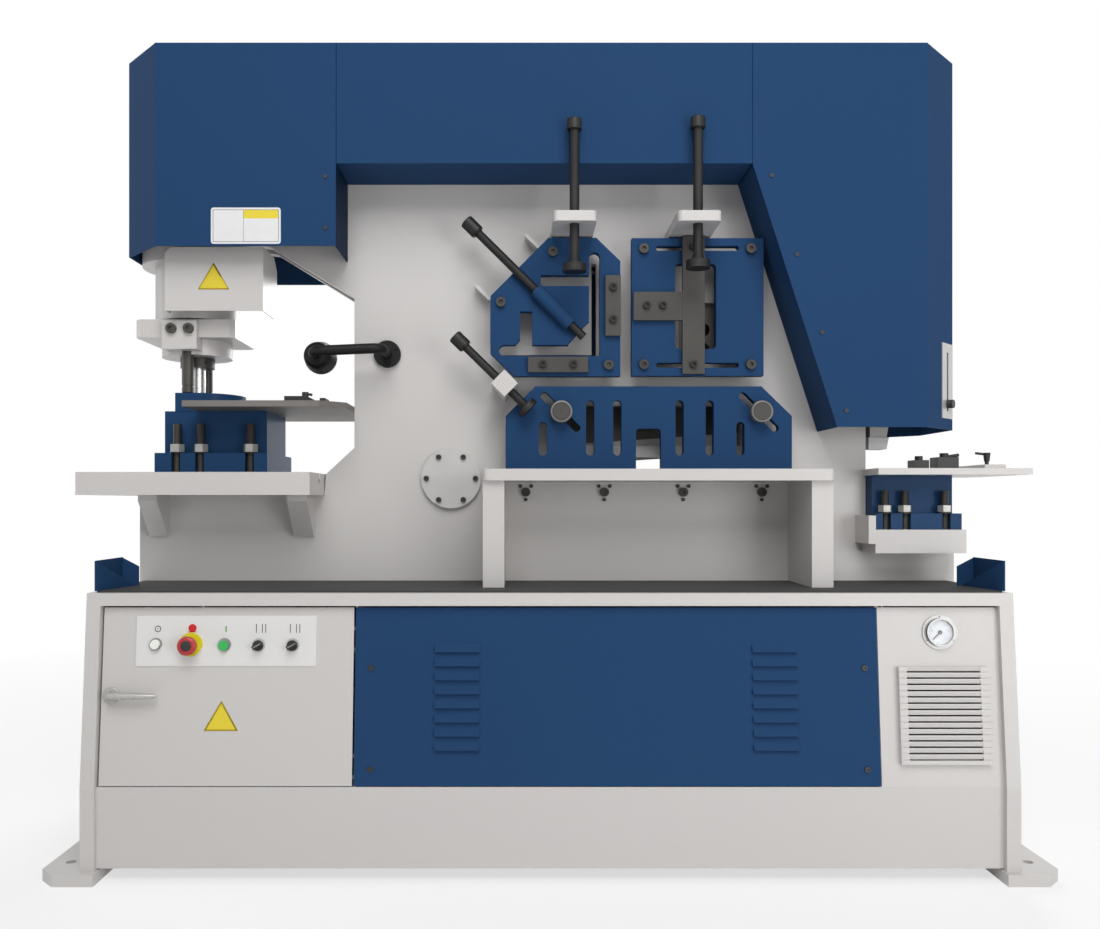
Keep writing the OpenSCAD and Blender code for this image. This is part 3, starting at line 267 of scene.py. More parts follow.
# %% Nuts and studs
OFF_MIDDLE = 0.09
PUNCH_NUTS, NOTCH_NUTS = (0.0505, 0.0695), (0.0035, 0.0195)
STUD_HEIGHT, NOTCH_STUDS = 0.13, (0.73, 0.84)
THREAD = 0.0025
fastening = steel("screws and nuts", rgb(40, 40, 40), rgb(66, 64, 61), 0.42, 0.55)
die_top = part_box("punch_table")[1][2]
notch_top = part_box("notch_die")[0][2] + 0.038
aside = abs(fastening.axis("Y")) > OFF_MIDDLE
height = fastening.axis("Z")
left_side = fastening.axis("X") < 0.0
nuts = aside * (
    fastening.between(height, *(die_top + h for h in PUNCH_NUTS)) * left_side
    + fastening.between(height, *(notch_top + h for h in NOTCH_NUTS)) * (1 - left_side))
zinc = fastening.mix(fastening.noise(30.0), rgb(140, 140, 136), rgb(172, 172, 168))
studs = aside * (1 - nuts) * (
    fastening.between(height, die_top, die_top + STUD_HEIGHT) * left_side
    + fastening.between(height, *NOTCH_STUDS) * (1 - left_side))
groove = (height * (2 * math.pi / THREAD)).math("SINE") * studs
fastening.set(Base_Color=fastening.mix(nuts, fastening.colour, zinc),
              Normal=fastening.bump(groove, 0.0004, 0.8))
print("nuts above", round(die_top, 3), round(notch_top, 3))

# %% [markdown]
# ## Threads
# The hold-down screws are threaded over their whole length. A thread is a wave that runs
# once round the rod for each pitch along it, so its phase is the distance along the axis
# plus the angle round it. As a bump it costs no geometry and still catches the light.

# %% Threaded screws
PITCH = 0.003


def threaded(name, joint):
    f = steel(name.replace("_", " ") + " thread", *SCREW, 0.42, 0.5)
    axis = Vector(joints[joint]["axis"])
    side = axis.cross(Y).normalized()
    u = f.along(side) - side.dot(middle(name))
    v = f.axis("Y") - middle(name).y
    turns = f.along(axis) / PITCH + u.math("ARCTAN2", v) / (2 * math.pi)
    f.set(Normal=f.bump((turns * (2 * math.pi)).math("SINE"), 0.0005, 0.7))
    return f


SCREWS = {"angle_screw": "angle_hold_down", "bar_screw": "bar_hold_down",
          "diagonal_screw": "section_hold_down", "corner_screw": "corner_hold_down"}
threads = {name: threaded(name, joint) for name, joint in SCREWS.items()}
print("threads on", ", ".join(threads))

# %% [markdown]
# ## Joints between the covers
# The three front covers butt against each other. The narrow gap of each joint lies in shade,
# which a mask on X paints as a thin dark line at the two edges of the middle cover.

# %% Cover paint with painted shade at its two joints
HALF_JOINT = 0.0009
cover = coat("cover powder coat with joint shade", BLUE, 0.45, sheen=0.01)
across = cover.axis("X")
seams = [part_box("middle_cover")[0][0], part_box("middle_cover")[1][0]]
# Painted shade: a thin dark line in the blue where the gap of each joint lies in shade.
lines = [abs(across - seam) < HALF_JOINT for seam in seams]
cover.set(Base_Color=cover.mix(lines[0] + lines[1], cover.colour, scaled(BLUE, 0.35)))
cover_paint = cover.material
print("joints at", [round(seam, 3) for seam in seams])

# %% [markdown]
# ## The beam's nose
# The beam is black, but its last step, which carries the notching tool, is painted like
# the frame. That too is one node, so X decides.

# %% Beam with a light nose
NOSE_FROM = 0.799
beam_finish = steel("beam", *OXIDE, 0.48, 0.55)
nose = beam_finish.axis("X") > NOSE_FROM
beam_finish.set(Base_Color=beam_finish.mix(nose, beam_finish.colour, WHITE),
                Metallic=(1 - nose) * 0.55)
print("beam nose from", NOSE_FROM, "m")

# %% [markdown]
# ## Rubber, plastics, glass
# The mat is pebbled rubber. Buttons and selectors are moulded, so they only need colour,
# gloss and a trace of unevenness.

# %% Moulded finishes
def moulded(name, colour, roughness=0.4, grain_size=300.0, depth=0.00002, clear=0.0, sheen=0.5):
    f = Finish(name)
    grain = f.noise(grain_size, 2.0)
    f.set(Base_Color=f.mix(grain, scaled(colour, 0.94), colour),
          Roughness=roughness + (grain - 0.5) * 0.1, Coat_Weight=clear,
          Normal=f.bump(grain, depth, 0.5), Specular_IOR_Level=sheen)
    return f


mat_rubber = moulded("pebbled rubber", rgb(64, 64, 64), 0.75, 420.0, 0.0002, sheen=0.3)
lamp_black = moulded("lamp enamel", rgb(22, 22, 24), 0.5, sheen=0.2)
black_plastic = moulded("black plastic", rgb(28, 28, 30), 0.42)
red_plastic = moulded("red plastic", rgb(176, 28, 34), 0.32, 300.0, 0.00001, 0.3)
green_plastic = moulded("green plastic", rgb(40, 176, 78), 0.3, 300.0, 0.00001, 0.3)
gear_grey = moulded("gear housings", rgb(190, 190, 186), 0.5)
power_grey = moulded("tank enamel", rgb(88, 92, 96), 0.45)
glass = Finish("dial glass").set(Roughness=0.03, Transmission_Weight=1.0, IOR=1.45,
                                 Alpha=0.25, Base_Color=(1, 1, 1, 1))
print("moulded finishes", mat_rubber.material.name)

# %% [markdown]
# ## Control plate
# One sheet carries the stop button's yellow collar, the metal bezels of the indicator,
# the start button and the selectors, and the indicator's white lens. Rounds on the
# leaning front tell them apart, measured in the sheet's own plane.

# %% Panel sheet with its collars
panel = moulded("panel sheet", rgb(222, 221, 219), 0.4)
BEZEL = 0.0144
stop, begin = middle("estop_button"), middle("start_button")
indicator = on_front(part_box("control_plate")[0][0] + 0.042, stop.z)
collar = panel.round_spot(stop, 0.0254)
start_rim = panel.round_spot(begin, BEZEL)
indicator_rim = panel.round_spot(indicator, 0.0139)
glow = panel.round_spot(indicator, 0.0101)
selectors = [panel.round_spot(middle(s), BEZEL) for s in ("selector_left", "selector_right")]
painted = panel.mix(collar, panel.colour, rgb(214, 204, 30))
painted = panel.mix(start_rim + indicator_rim, painted, rgb(150, 151, 150))
painted = panel.mix(glow, painted, rgb(238, 238, 232))
painted = panel.mix(selectors[0] + selectors[1], painted, rgb(186, 185, 184))
panel.set(Base_Color=painted, Metallic=(start_rim + indicator_rim) * (1 - glow) * 0.6)
print("indicator at", [round(v, 3) for v in indicator])

# %% [markdown]
# ## Gauge body and guide bars
# The gauge's drum has painted shade round its side, which sets the bright flange off from the
# dial.
# The screws in the guide bars are blacker than the bars. Neither is a node of its own, so
# masks find them: the drum's side by its distance from the gauge's axis and its depth,
# the screws by their depth alone.

# %% Drum of the gauge, with painted shade on its side
DRUM_RADIUS, DRUM_DEPTH = 0.0292, (0.0044, 0.0112)
gauge = Vector(joints["gauge_reading"]["pos_m"]) + INWARD * 0.006
drum = steel("gauge body with shaded side", rgb(170, 170, 168), rgb(190, 190, 188), 0.35, 0.3)
proud = INWARD.dot(gauge) - drum.along(INWARD)
# Painted shade: the drum's side, outside this radius and between these depths, gets a dark grey.
wall = (drum.off_centre(gauge) > DRUM_RADIUS ** 2) * drum.between(proud, *DRUM_DEPTH)
drum.set(Base_Color=drum.mix(wall, drum.colour, rgb(62, 62, 62)))
print("drum", drum.material.name)

# %% Heads on the guide bars
HEAD_HEIGHT = 0.0075


def with_heads(name, node):
    bars = steel(name, rgb(52, 51, 49), rgb(70, 68, 65), 0.5, 0.5, (1, 6, 6))
    heads = bars.axis("Y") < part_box(node)[0][1] + HEAD_HEIGHT
    bars.set(Base_Color=bars.mix(heads, bars.colour, rgb(30, 30, 30)))
    return bars


guide_steel = with_heads("blackened guide bars", "guide_bars")
slide_steel = with_heads("blackened guide slide", "bar_guide")
print("heads", guide_steel.material.name, slide_steel.material.name)

# %% [markdown]
# ## Which piece gets which finish
# Two tables say it for the whole machine. A piece that the second doesn't name gets the
# finish that the first gives its slot in the record, so nothing is left grey by accident.

# %% Dress the frame
BY_SLOT = {"white_paint": white_paint, "blue_paint": blue_paint,
           "black_oxide": black_oxide.material, "tool_steel": ground_steel.material,
           "cylinder_steel": ground_steel.material, "ground_rod": bright_steel.material,
           "rubber_mat": mat_rubber.material, "black_plastic": black_plastic.material,
           "lens": glass.material, "panel_grey": plated.material,
           "red_plastic": red_plastic.material, "green_plastic": green_plastic.material,
           "lamp_black": lamp_black.material, "panel_gear": gear_grey.material,
           "power_grey": power_grey.material}
BY_NODE = {"die_table": table_steel, "control_plate": panel, "stroke_plate": plated,
           "fasteners": fastening, "shear_beam": beam_finish, "pivot_pins": cap_steel,
           "guide_bars": guide_steel, "bar_guide": slide_steel, "punch": bright_steel,
           "gauge_body": drum, "beam_tools": notch_steel, "table_stops": screw_black,
           **threads}
dress = {name: finish.material for name, finish in BY_NODE.items()}
dress["die_block"] = dress["notch_die"] = block_enamel
dress["left_cover"] = dress["middle_cover"] = dress["right_cover"] = cover_paint
slots = {s["node"]: s["material_slot"] for s in frame["record"]["subparts"]}
for name, piece in nodes.items():
    piece.data.materials.clear()
    piece.data.materials.append(dress.get(name) or BY_SLOT[slots[name]])
print("dressed", len(nodes))

# %% [markdown]
# ## Modelling by hand, in code
# The small parts below start from a primitive and are shaped in edit mode, as one would
# by hand: choose faces, extrude, inset, bevel. Small helpers do the choosing and placing.
# A part is drawn lying on the XY plane with its face towards +Z, and `stand` then turns
# it to its place on the machine and freezes that into the mesh.

# %% Helpers for hand work
def alone(piece):
    if bpy.context.object and bpy.context.object.mode != "OBJECT":
        bpy.ops.object.mode_set(mode="OBJECT")
    bpy.ops.object.select_all(action="DESELECT")
    if piece:
        piece.select_set(True)
        bpy.context.view_layer.objects.active = piece


def begin_with(add, scale=(1, 1, 1), **settings):
    alone(None)
    add(**settings)
    piece = bpy.context.object
    piece.scale = scale
    bpy.ops.object.transform_apply(location=True, rotation=True, scale=True)
    return piece


def choose(piece, test, kind="FACE"):
    """Edit mode, with the elements selected whose middle and direction pass the test."""
    alone(piece)
    bpy.ops.object.mode_set(mode="EDIT")
    bpy.ops.mesh.select_mode(type=kind)
    bpy.ops.mesh.select_all(action="DESELECT")
    mesh = bmesh.from_edit_mesh(piece.data)
    mesh.normal_update()
    for e in {"FACE": mesh.faces, "EDGE": mesh.edges, "VERT": mesh.verts}[kind]:
        points = [e.co] if kind == "VERT" else [v.co for v in e.verts]
        centre = sum(points, Vector()) / len(points)
        facing = (points[1] - points[0]).normalized() if kind == "EDGE" else e.normal
        if test(centre, facing):
            e.select_set(True)
    mesh.select_flush_mode()
    bmesh.update_edit_mesh(piece.data)


def push(amount):
    """Extrude what is selected along +Z of the drawing."""
    bpy.ops.mesh.extrude_region_move(TRANSFORM_OT_translate={"value": (0, 0, amount)})


def stand(piece, at, out=-Y, up=Z):
    """Turn a drawn piece so that its +Z looks out and its +Y up, and put it in place."""
    alone(piece)
    x, y, z = up.cross(out).normalized(), up.normalized(), out.normalized()
    piece.matrix_world = Matrix.Translation(at) @ Matrix((x, y, z)).transposed().to_4x4()
    bpy.ops.object.transform_apply(location=True, rotation=True, scale=True)


def clean(piece):
    """Weld points that lie on each other, and turn every face outwards."""
    alone(piece)
    bpy.ops.object.mode_set(mode="EDIT")
    bpy.ops.mesh.select_all(action="SELECT")
    bpy.ops.mesh.remove_doubles(threshold=0.000002)
    bpy.ops.mesh.normals_make_consistent(inside=False)
    bpy.ops.object.mode_set(mode="OBJECT")


def belong(piece, name, finishes, body, smooth=None):
    """Name a finished piece, dress it, and say which body it rides on."""
    clean(piece)
    if smooth:
        bpy.ops.object.shade_smooth_by_angle(angle=math.radians(smooth))
    piece.name = piece.data.name = name
    for finish in finishes:
        piece.data.materials.append(finish)
    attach(piece, body)
    print(name, len(piece.data.polygons), "faces")


def copy_of(piece):
    twin = piece.copy()
    twin.data = piece.data.copy()
    bpy.context.scene.collection.objects.link(twin)
    return twin


def joined(pieces):
    alone(pieces[0])
    for p in pieces:
        p.select_set(True)
    bpy.ops.object.join()
    return bpy.context.object


print("hand tools ready")

# %% [markdown]
# ## Door lever
# The door opens with a cast lever: a round rosette on the sheet, a neck, and a grip that
# tapers and curves back towards the door. The frame has a plain bar there, so this piece
# replaces it. The grip grows out of one round face by repeated extrusion: it widens once,
# then each step is a little smaller, and a subdivision surface rounds it.

# %% Grip of the lever
lever_joint = joints["door_latch"]
spindle = Vector(lever_joint["pos_m"]) + INWARD * 0.020
grip = begin_with(bpy.ops.mesh.primitive_cylinder_add, vertices=12, radius=0.0078, depth=0.004,
                  location=(0, 0, 0.024), rotation=(0, math.radians(90), 0))
reach = 0.002
for step, drop, shrink in [(0.008, 0, 1.12), (0.03, 0.0004, 0.92), (0.03, -0.0010, 0.9),
                           (0.022, -0.0018, 0.84), (0.009, -0.0012, 0.7), (0.003, -0.0004, 0.5)]:
    choose(grip, lambda c, n: n.x > 0.7 and c.x > reach - 0.001)
    bpy.ops.mesh.extrude_region_move(TRANSFORM_OT_translate={"value": (step, 0, drop)})
    mesh = bmesh.from_edit_mesh(grip.data)
    tip = [v.co for v in mesh.verts if v.select]
    bpy.ops.transform.resize(value=(1, shrink, shrink),
                             center_override=sum(tip, Vector()) / len(tip))
    reach += step
bpy.ops.object.mode_set(mode="OBJECT")
print("grip", round(reach, 3), "m to its tip")

# %% Rosette, neck and tongue
rosette = begin_with(bpy.ops.mesh.primitive_cylinder_add, vertices=40, radius=0.0175, depth=0.006,
                     location=(0, 0, 0.0031))
choose(rosette, lambda c, n: n.z > 0.9)
bpy.ops.mesh.bevel(offset=0.0015, segments=3)
choose(rosette, lambda c, n: n.z > 0.9 and c.z > 0.006)
bpy.ops.mesh.inset(thickness=0.0062)
push(0.0015)
bpy.ops.mesh.inset(thickness=0.0006)
push(0.0125)
choose(rosette, lambda c, n: n.z < -0.9)
bpy.ops.mesh.inset(thickness=0.0078)
push(-0.020)
tongue = begin_with(bpy.ops.mesh.primitive_cube_add, size=1, location=(-0.004, 0, -0.0185),
                    scale=(0.028, 0.02, 0.003))
choose(tongue, lambda c, n: abs(n.x) > 0.9)
bpy.ops.mesh.bevel(offset=0.0008, segments=2)
alone(grip)
smoother = grip.modifiers.new("round", "SUBSURF")
smoother.levels = smoother.render_levels = 2
bpy.ops.object.modifier_apply(modifier="round")
lever = joined([rosette, tongue, grip])
stand(lever, spindle, -INWARD, UPWARD)
lever_steel = steel("cast lever", rgb(162, 160, 157), rgb(186, 185, 182), 0.3, 0.3)
belong(lever, "door_lever", [lever_steel.material], "door_handle", 40)
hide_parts("door_handle")

# %% [markdown]
# ## Stop button
# A mushroom head: a wide disc with a rounded rim on a narrow stem, and a black insert in
# its middle. The frame's plain disc is replaced. The rim is a bevel, the insert's seat an
# inset pushed back by less than a millimetre.

# %% Mushroom head
row = UPWARD.dot(Vector(joints["left_selector_turn"]["pos_m"]) - BEND)


def on_row(node):
    return BEND + X * middle(node).x + UPWARD * row


mushroom = begin_with(bpy.ops.mesh.primitive_cylinder_add, vertices=48, radius=0.020,
                      depth=0.013, location=(0, 0, 0.0285))
choose(mushroom, lambda c, n: n.z < -0.9)
bpy.ops.mesh.bevel(offset=0.001, segments=2)
choose(mushroom, lambda c, n: n.z < -0.9 and c.length < 0.03)
bpy.ops.mesh.inset(thickness=0.0118)
push(-0.0439)
choose(mushroom, lambda c, n: n.z > 0.9)
bpy.ops.mesh.bevel(offset=0.004, segments=5)
choose(mushroom, lambda c, n: n.z > 0.9 and c.z > 0.0349)
bpy.ops.mesh.inset(thickness=0.0048)
push(-0.0007)
stand(mushroom, on_row("estop_button"), -INWARD, UPWARD)
belong(mushroom, "stop_mushroom", [red_plastic.material], "estop", 35)
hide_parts("estop_button")

# %% Black insert
insert = begin_with(bpy.ops.mesh.primitive_cylinder_add, vertices=40, radius=0.0109,
                    depth=0.0009, location=(0, 0, 0.0347))
choose(insert, lambda c, n: n.z > 0.9)
bpy.ops.mesh.bevel(offset=0.0003, segments=2)
stand(insert, on_row("estop_button"), -INWARD, UPWARD)
belong(insert, "stop_insert", [black_plastic.material], "estop", 35)

# %% [markdown]
# ## Marks on the control plate
# Small printed shapes say what each device is: a ring with a dot, a red spot over a bar,
# a green bar, and thin bars over the selectors. The ring is a thin torus; the others are
# rectangles with bevelled corners and rounds, raised by a quarter of a millimetre or so.

# %% Foil shapes
def foil(width, height, corner, thick=0.00025):
    shape = begin_with(bpy.ops.mesh.primitive_plane_add, size=1, scale=(width, height, 1))
    choose(shape, lambda c, n: True, "VERT")
    bpy.ops.mesh.bevel(offset=corner, segments=3, affect="VERTICES")
    choose(shape, lambda c, n: True)
    push(thick)
    return shape


def disc(radius, thick=0.00025, sides=32):
    shape = begin_with(bpy.ops.mesh.primitive_circle_add, vertices=sides, radius=radius,
                       fill_type="NGON")
    choose(shape, lambda c, n: True)
    push(thick)
    return shape


def shifted(shape, x, y, z=0.0, turn=0.0):
    alone(shape)
    turned = Matrix.Rotation(math.radians(turn), 4, "Z")
    shape.matrix_world = Matrix.Translation((x, y, z)) @ turned
    bpy.ops.object.transform_apply(location=True, rotation=True, scale=True)
    return shape


mark_ink = moulded("dark ink", rgb(46, 46, 47), 0.6, sheen=0.1)
red_ink = moulded("red ink", rgb(196, 22, 28), 0.45)
green_ink = moulded("green ink", rgb(96, 160, 74), 0.45)
FACE, INK_SHIFT = 0.0019, 0.0025
print("foil starts", FACE, "m proud of the door")

# %% Place the marks
ring = begin_with(bpy.ops.mesh.primitive_torus_add, major_segments=8, minor_segments=6,
                  major_radius=0.0062, minor_radius=0.0009)
shapes = [ring, disc(0.0012, 0.0004, 12)]
shapes = [shifted(s, indicator.x + 0.0035, 0.531, FACE) for s in shapes]
for selector in ("selector_left", "selector_right"):
    for dx in (-0.0057, 0.0071, 0.0143):
        shapes.append(shifted(foil(0.0015, 0.019, 0.0003), middle(selector).x + dx, 0.532, FACE))
row_zero = BEND + UPWARD * (-BEND.z / UPWARD.z)


def printed(shapes, name, ink):
    """Join shapes drawn at their X and height, and lay them on the leaning front."""
    for s in shapes:
        for v in s.data.vertices:
            v.co.y = v.co.y / UPWARD.z
    group = joined(shapes) if len(shapes) > 1 else shapes[0]
    stand(group, row_zero, -INWARD, UPWARD)
    belong(group, name, [ink.material], "door")


printed(shapes, "panel_marks", mark_ink)
printed([shifted(disc(0.0088), stop.x + INK_SHIFT, 0.5325, FACE),
         shifted(foil(0.019, 0.0018, 0.0005), stop.x + INK_SHIFT, 0.5245, FACE)],
        "stop_mark", red_ink)
printed([shifted(foil(0.003, 0.0125, 0.0006), begin.x + INK_SHIFT, 0.5305, FACE)],
        "start_mark", green_ink)

# %% Pointer lines on the selectors
pale_ink = moulded("pale ink", rgb(170, 170, 168), 0.45)
for side in ("left", "right"):
    line = shifted(foil(0.017, 0.0013, 0.0003), 0, 0, 0.0219, 30)
    stand(line, on_row(f"selector_{side}"), -INWARD, UPWARD)
    belong(line, f"pointer_{side}", [pale_ink.material], f"selector_{side}")

# %% [markdown]
# ## Plain labels
# The left cover carries one rounded white plate with a thin frame line and a yellow band,
# and the punch guard and the door each carry a plain yellow triangle. They name nothing
# and warn of nothing: they are only the fields of colour that such a machine wears. The
# frame line and the band are masks on Object coordinates, because a print has no
# thickness; the triangles are bevelled foil with an inset face of a second yellow.

# %% Cover label
yellow = rgb(226, 205, 60)
edge_yellow = rgb(170, 146, 34)
label_low, label_high = Vector((-0.7684, 0, 1.3913)), Vector((-0.6092, 0, 1.4740))
label_ink = Finish("printed label")
label_x, label_z = label_ink.axis("X"), label_ink.axis("Z")
OUTER, INNER = 0.0046, 0.0056
DIVIDER, BAND_FROM = (-0.6946, -0.6938), 1.4493


def inside(shrink):
    return (label_ink.between(label_x, label_low.x + shrink, label_high.x - shrink)
            * label_ink.between(label_z, label_low.z + shrink, label_high.z - shrink))


line = ((inside(OUTER) - inside(INNER))
        + inside(INNER) * label_ink.between(label_x, *DIVIDER))
band = inside(INNER) * (label_x > DIVIDER[1]) * (label_z > BAND_FROM)
paper = label_ink.mix(label_ink.noise(60.0), rgb(220, 220, 220), rgb(228, 228, 228))
fields = label_ink.mix(band, paper, yellow)
label_ink.set(Base_Color=label_ink.mix(line, fields, rgb(70, 70, 74)), Roughness=0.4,
              Specular_IOR_Level=0.3)
label = foil(label_high.x - label_low.x, label_high.z - label_low.z, 0.006, 0.0005)
stand(label, Vector(((label_low.x + label_high.x) / 2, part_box("left_cover")[0][1],
                     (label_low.z + label_high.z) / 2)))
belong(label, "cover_label", [label_ink.material], "frame")

# %% Triangles
yellow_foil = moulded("yellow foil", yellow, 0.4, sheen=0.3).material
yellow_rim = moulded("yellow rim", edge_yellow, 0.4, sheen=0.3).material


def triangle(width):
    shape = begin_with(bpy.ops.mesh.primitive_circle_add, vertices=3, radius=width / 3 ** 0.5,
                       fill_type="NGON")
    choose(shape, lambda c, n: True, "VERT")
    bpy.ops.mesh.bevel(offset=0.003, segments=4, affect="VERTICES")
    choose(shape, lambda c, n: True)
    push(0.0004)
    choose(shape, lambda c, n: n.z > 0.9)
    bpy.ops.mesh.inset(thickness=0.0035)
    return shape


def coloured(shape, name, body, at, out, up):
    alone(shape)
    inner = min((f for f in shape.data.polygons if f.normal.z > 0.9),
                key=lambda f: f.center.length)
    inner.material_index = 1
    stand(shape, at, out, up)
    belong(shape, name, [yellow_rim, yellow_foil], body)


TRIANGLE_WIDTH = 0.074
guard_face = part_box("punch_guard")[0][1]
coloured(triangle(TRIANGLE_WIDTH), "guard_triangle", "frame",
         Vector((-0.7798, guard_face, 1.3206)), -Y, Z)
coloured(triangle(TRIANGLE_WIDTH), "door_triangle", "door", on_front(-0.700, 0.3375, 0.0001),
         -INWARD, UPWARD)

# %% [markdown]
# ## Gauge dial
# Behind the glass lies a dial with ticks and plain numbers. The ticks come in three
# lengths and are laid round the arc one by one; the numbers are Text objects made mesh
# before they are placed.

# %% Dial
dial_ink = moulded("dial ink", rgb(140, 142, 146), 0.5)
dial_face = moulded("dial face", rgb(214, 217, 222), 0.35, 90.0)
dial = shifted(disc(0.0265, 0.0004, 48), 0, 0, 0.0041)
stand(dial, gauge, -INWARD, UPWARD)
belong(dial, "gauge_dial", [dial_face.material], "frame")

# %% Ticks and numbers
SWEEP, START, STEPS, NUMBERS = 270, 225, 50, 6
LONG, HALF, SHORT = (0.0036, 0.0005), (0.0026, 0.00035), (0.0015, 0.00022)
TICK_EDGE, NUMBER_RADIUS = 0.0245, 0.0175
marks = []
for i in range(STEPS + 1):
    turn = START - SWEEP * i / STEPS
    a = math.radians(turn)
    length, width = LONG if i % 10 == 0 else HALF if i % 5 == 0 else SHORT
    r = TICK_EDGE - length / 2
    marks.append(shifted(foil(length, width, 0.00004, 0.00015),
                         r * math.cos(a), r * math.sin(a), 0.0045, turn))
for i in range(NUMBERS):
    a = math.radians(START - SWEEP * i / (NUMBERS - 1))
    alone(None)
    bpy.ops.object.text_add()
    text = bpy.context.object
    text.data.body = str(i * 50)
    text.data.size, text.data.extrude = 0.0042, 0.00007
    text.data.align_x, text.data.align_y = "CENTER", "CENTER"
    bpy.ops.object.convert(target="MESH")
    marks.append(shifted(bpy.context.object, NUMBER_RADIUS * math.cos(a),
                         NUMBER_RADIUS * math.sin(a), 0.0046))
scale_marks = joined(marks)
stand(scale_marks, gauge, -INWARD, UPWARD)
belong(scale_marks, "gauge_scale", [dial_ink.material], "frame")

# %% [markdown]
# ## Knurled heads
# The four hold-down screws are turned by hand, so their heads are knurled. A ring slips
# over each plain head: an open cylinder whose every second strip is pressed in, with a
# wall added by Solidify. It is modelled once and copied, stretched to each head's length.

# %% Knurled ring
STRIPS = 72
knurl = begin_with(bpy.ops.mesh.primitive_cylinder_add, vertices=STRIPS, radius=0.0159,
                   depth=1.0, location=(0, 0, 0.5), end_fill_type="NOTHING")
alone(knurl)
for f in knurl.data.polygons:
    turn = math.degrees(math.atan2(f.center.y, f.center.x))
    f.select = round(turn / (360 / STRIPS) - 0.5) % 2 == 1
bpy.ops.object.mode_set(mode="EDIT")
bpy.ops.mesh.select_mode(type="FACE")
bpy.ops.mesh.inset(thickness=0.0002, use_individual=True)
bpy.ops.transform.shrink_fatten(value=-0.00045)
bpy.ops.object.mode_set(mode="OBJECT")
print("knurl", len(knurl.data.polygons), "faces")

# %% Fit the rings
def head_ring(screw, foot, out, length):
    """A ring of this length round a screw's head, from its foot outwards."""
    ring = copy_of(knurl)
    for v in ring.data.vertices:
        v.co.z *= length
    clean(ring)
    wall = ring.modifiers.new("wall", "SOLIDIFY")
    wall.thickness, wall.offset = 0.0011, -1
    bpy.ops.object.modifier_apply(modifier="wall")
    stand(ring, foot, out, Y)
    belong(ring, screw + "_knurl", [screw_black.material], screw)


HEAD_RADIUS, CHAMFER, UPRIGHT_RING = 0.015, 0.0015, 0.023
for screw in ("angle_screw", "bar_screw"):
    foot = Vector(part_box(screw)[1]).z - (UPRIGHT_RING + CHAMFER)
    head_ring(screw, Vector((middle(screw).x, middle(screw).y, foot)), Z, UPRIGHT_RING)
for screw, length in (("diagonal_screw", 0.036), ("corner_screw", 0.033)):
    out = -Vector(joints[SCREWS[screw]]["axis"])
    a, b = (Vector(v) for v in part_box(screw))
    # A slanting head's rim touches two sides of its box, which gives the middle of its top.
    rim = Vector((-abs(out.z), 0, abs(out.x))) * HEAD_RADIUS
    top = Vector((a.x, middle(screw).y, b.z)) - rim
    head_ring(screw, top - out * (length + CHAMFER), out, length)
alone(knurl)
bpy.data.objects.remove(knurl)

# %% [markdown]
# ## Guard knobs
# Two turned knobs clamp the guard of the flat shear. Each has a bright chamfered rim, a
# shallow ring groove and a centre mark left by the lathe. The rim is a bevel. The groove
# is inset, pushed back and pushed out again further in; the mark is the last inset. Groove
# and mark are painted black as painted shade.

# %% Turned knob
knob_steel = steel("turned knob", rgb(54, 52, 49), rgb(70, 67, 64), 0.5, 0.3)
knob_rim = steel("knob rim", rgb(92, 91, 88), rgb(112, 111, 108), 0.4, 0.3)
knob = begin_with(bpy.ops.mesh.primitive_cylinder_add, vertices=64, radius=0.0258, depth=0.0229,
                  location=(0, 0, 0.01145))
choose(knob, lambda c, n: n.z > 0.9)
bpy.ops.mesh.bevel(offset=0.0022, segments=2)
choose(knob, lambda c, n: n.z > 0.99 and c.z > 0.0228)
bpy.ops.mesh.inset(thickness=0.0018)
bpy.ops.mesh.inset(thickness=0.0006)
push(-0.0008)
bpy.ops.mesh.inset(thickness=0.0022)
bpy.ops.mesh.inset(thickness=0.0006)
push(0.0006)
bpy.ops.mesh.inset(thickness=0.0166)
push(-0.0006)
alone(knob)
print("knob", len(knob.data.polygons), "faces")

# %% Place the knobs
KNOB_FRONT, KNOB_HEIGHT = -0.133, 1.0144
RIM_FROM, GROOVE_FROM, MARK_TO = 0.0213, 0.0187, 0.0017
centres = [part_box("flat_guard")[0][0] + 0.1306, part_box("flat_guard")[1][0] - 0.077]
for side, across in zip(("left", "right"), centres):
    piece = copy_of(knob)
    stand(piece, Vector((across, KNOB_FRONT, KNOB_HEIGHT)))
    belong(piece, f"guard_knob_{side}", [knob_steel.material, knob_rim.material,
                                         black_plastic.material], "frame", 35)
    for f in piece.data.polygons:
        r = math.hypot(f.center.x - across, f.center.z - KNOB_HEIGHT)
        # Painted shade: the groove and the centre mark are painted black.
        f.material_index = 1 if r > RIM_FROM else 2 if r > GROOVE_FROM or r < MARK_TO else 0
bpy.data.objects.remove(knob)

# %% [markdown]
# ## Floor, light and camera
# The machine stands on a pale floor in a white room. The room looks white to the camera
# and in reflections, but adds only a low, even light to the machine; four large soft lamps
# give the shapes their shading. The floor fades into the white away from the machine, and
# keeps its shadow.

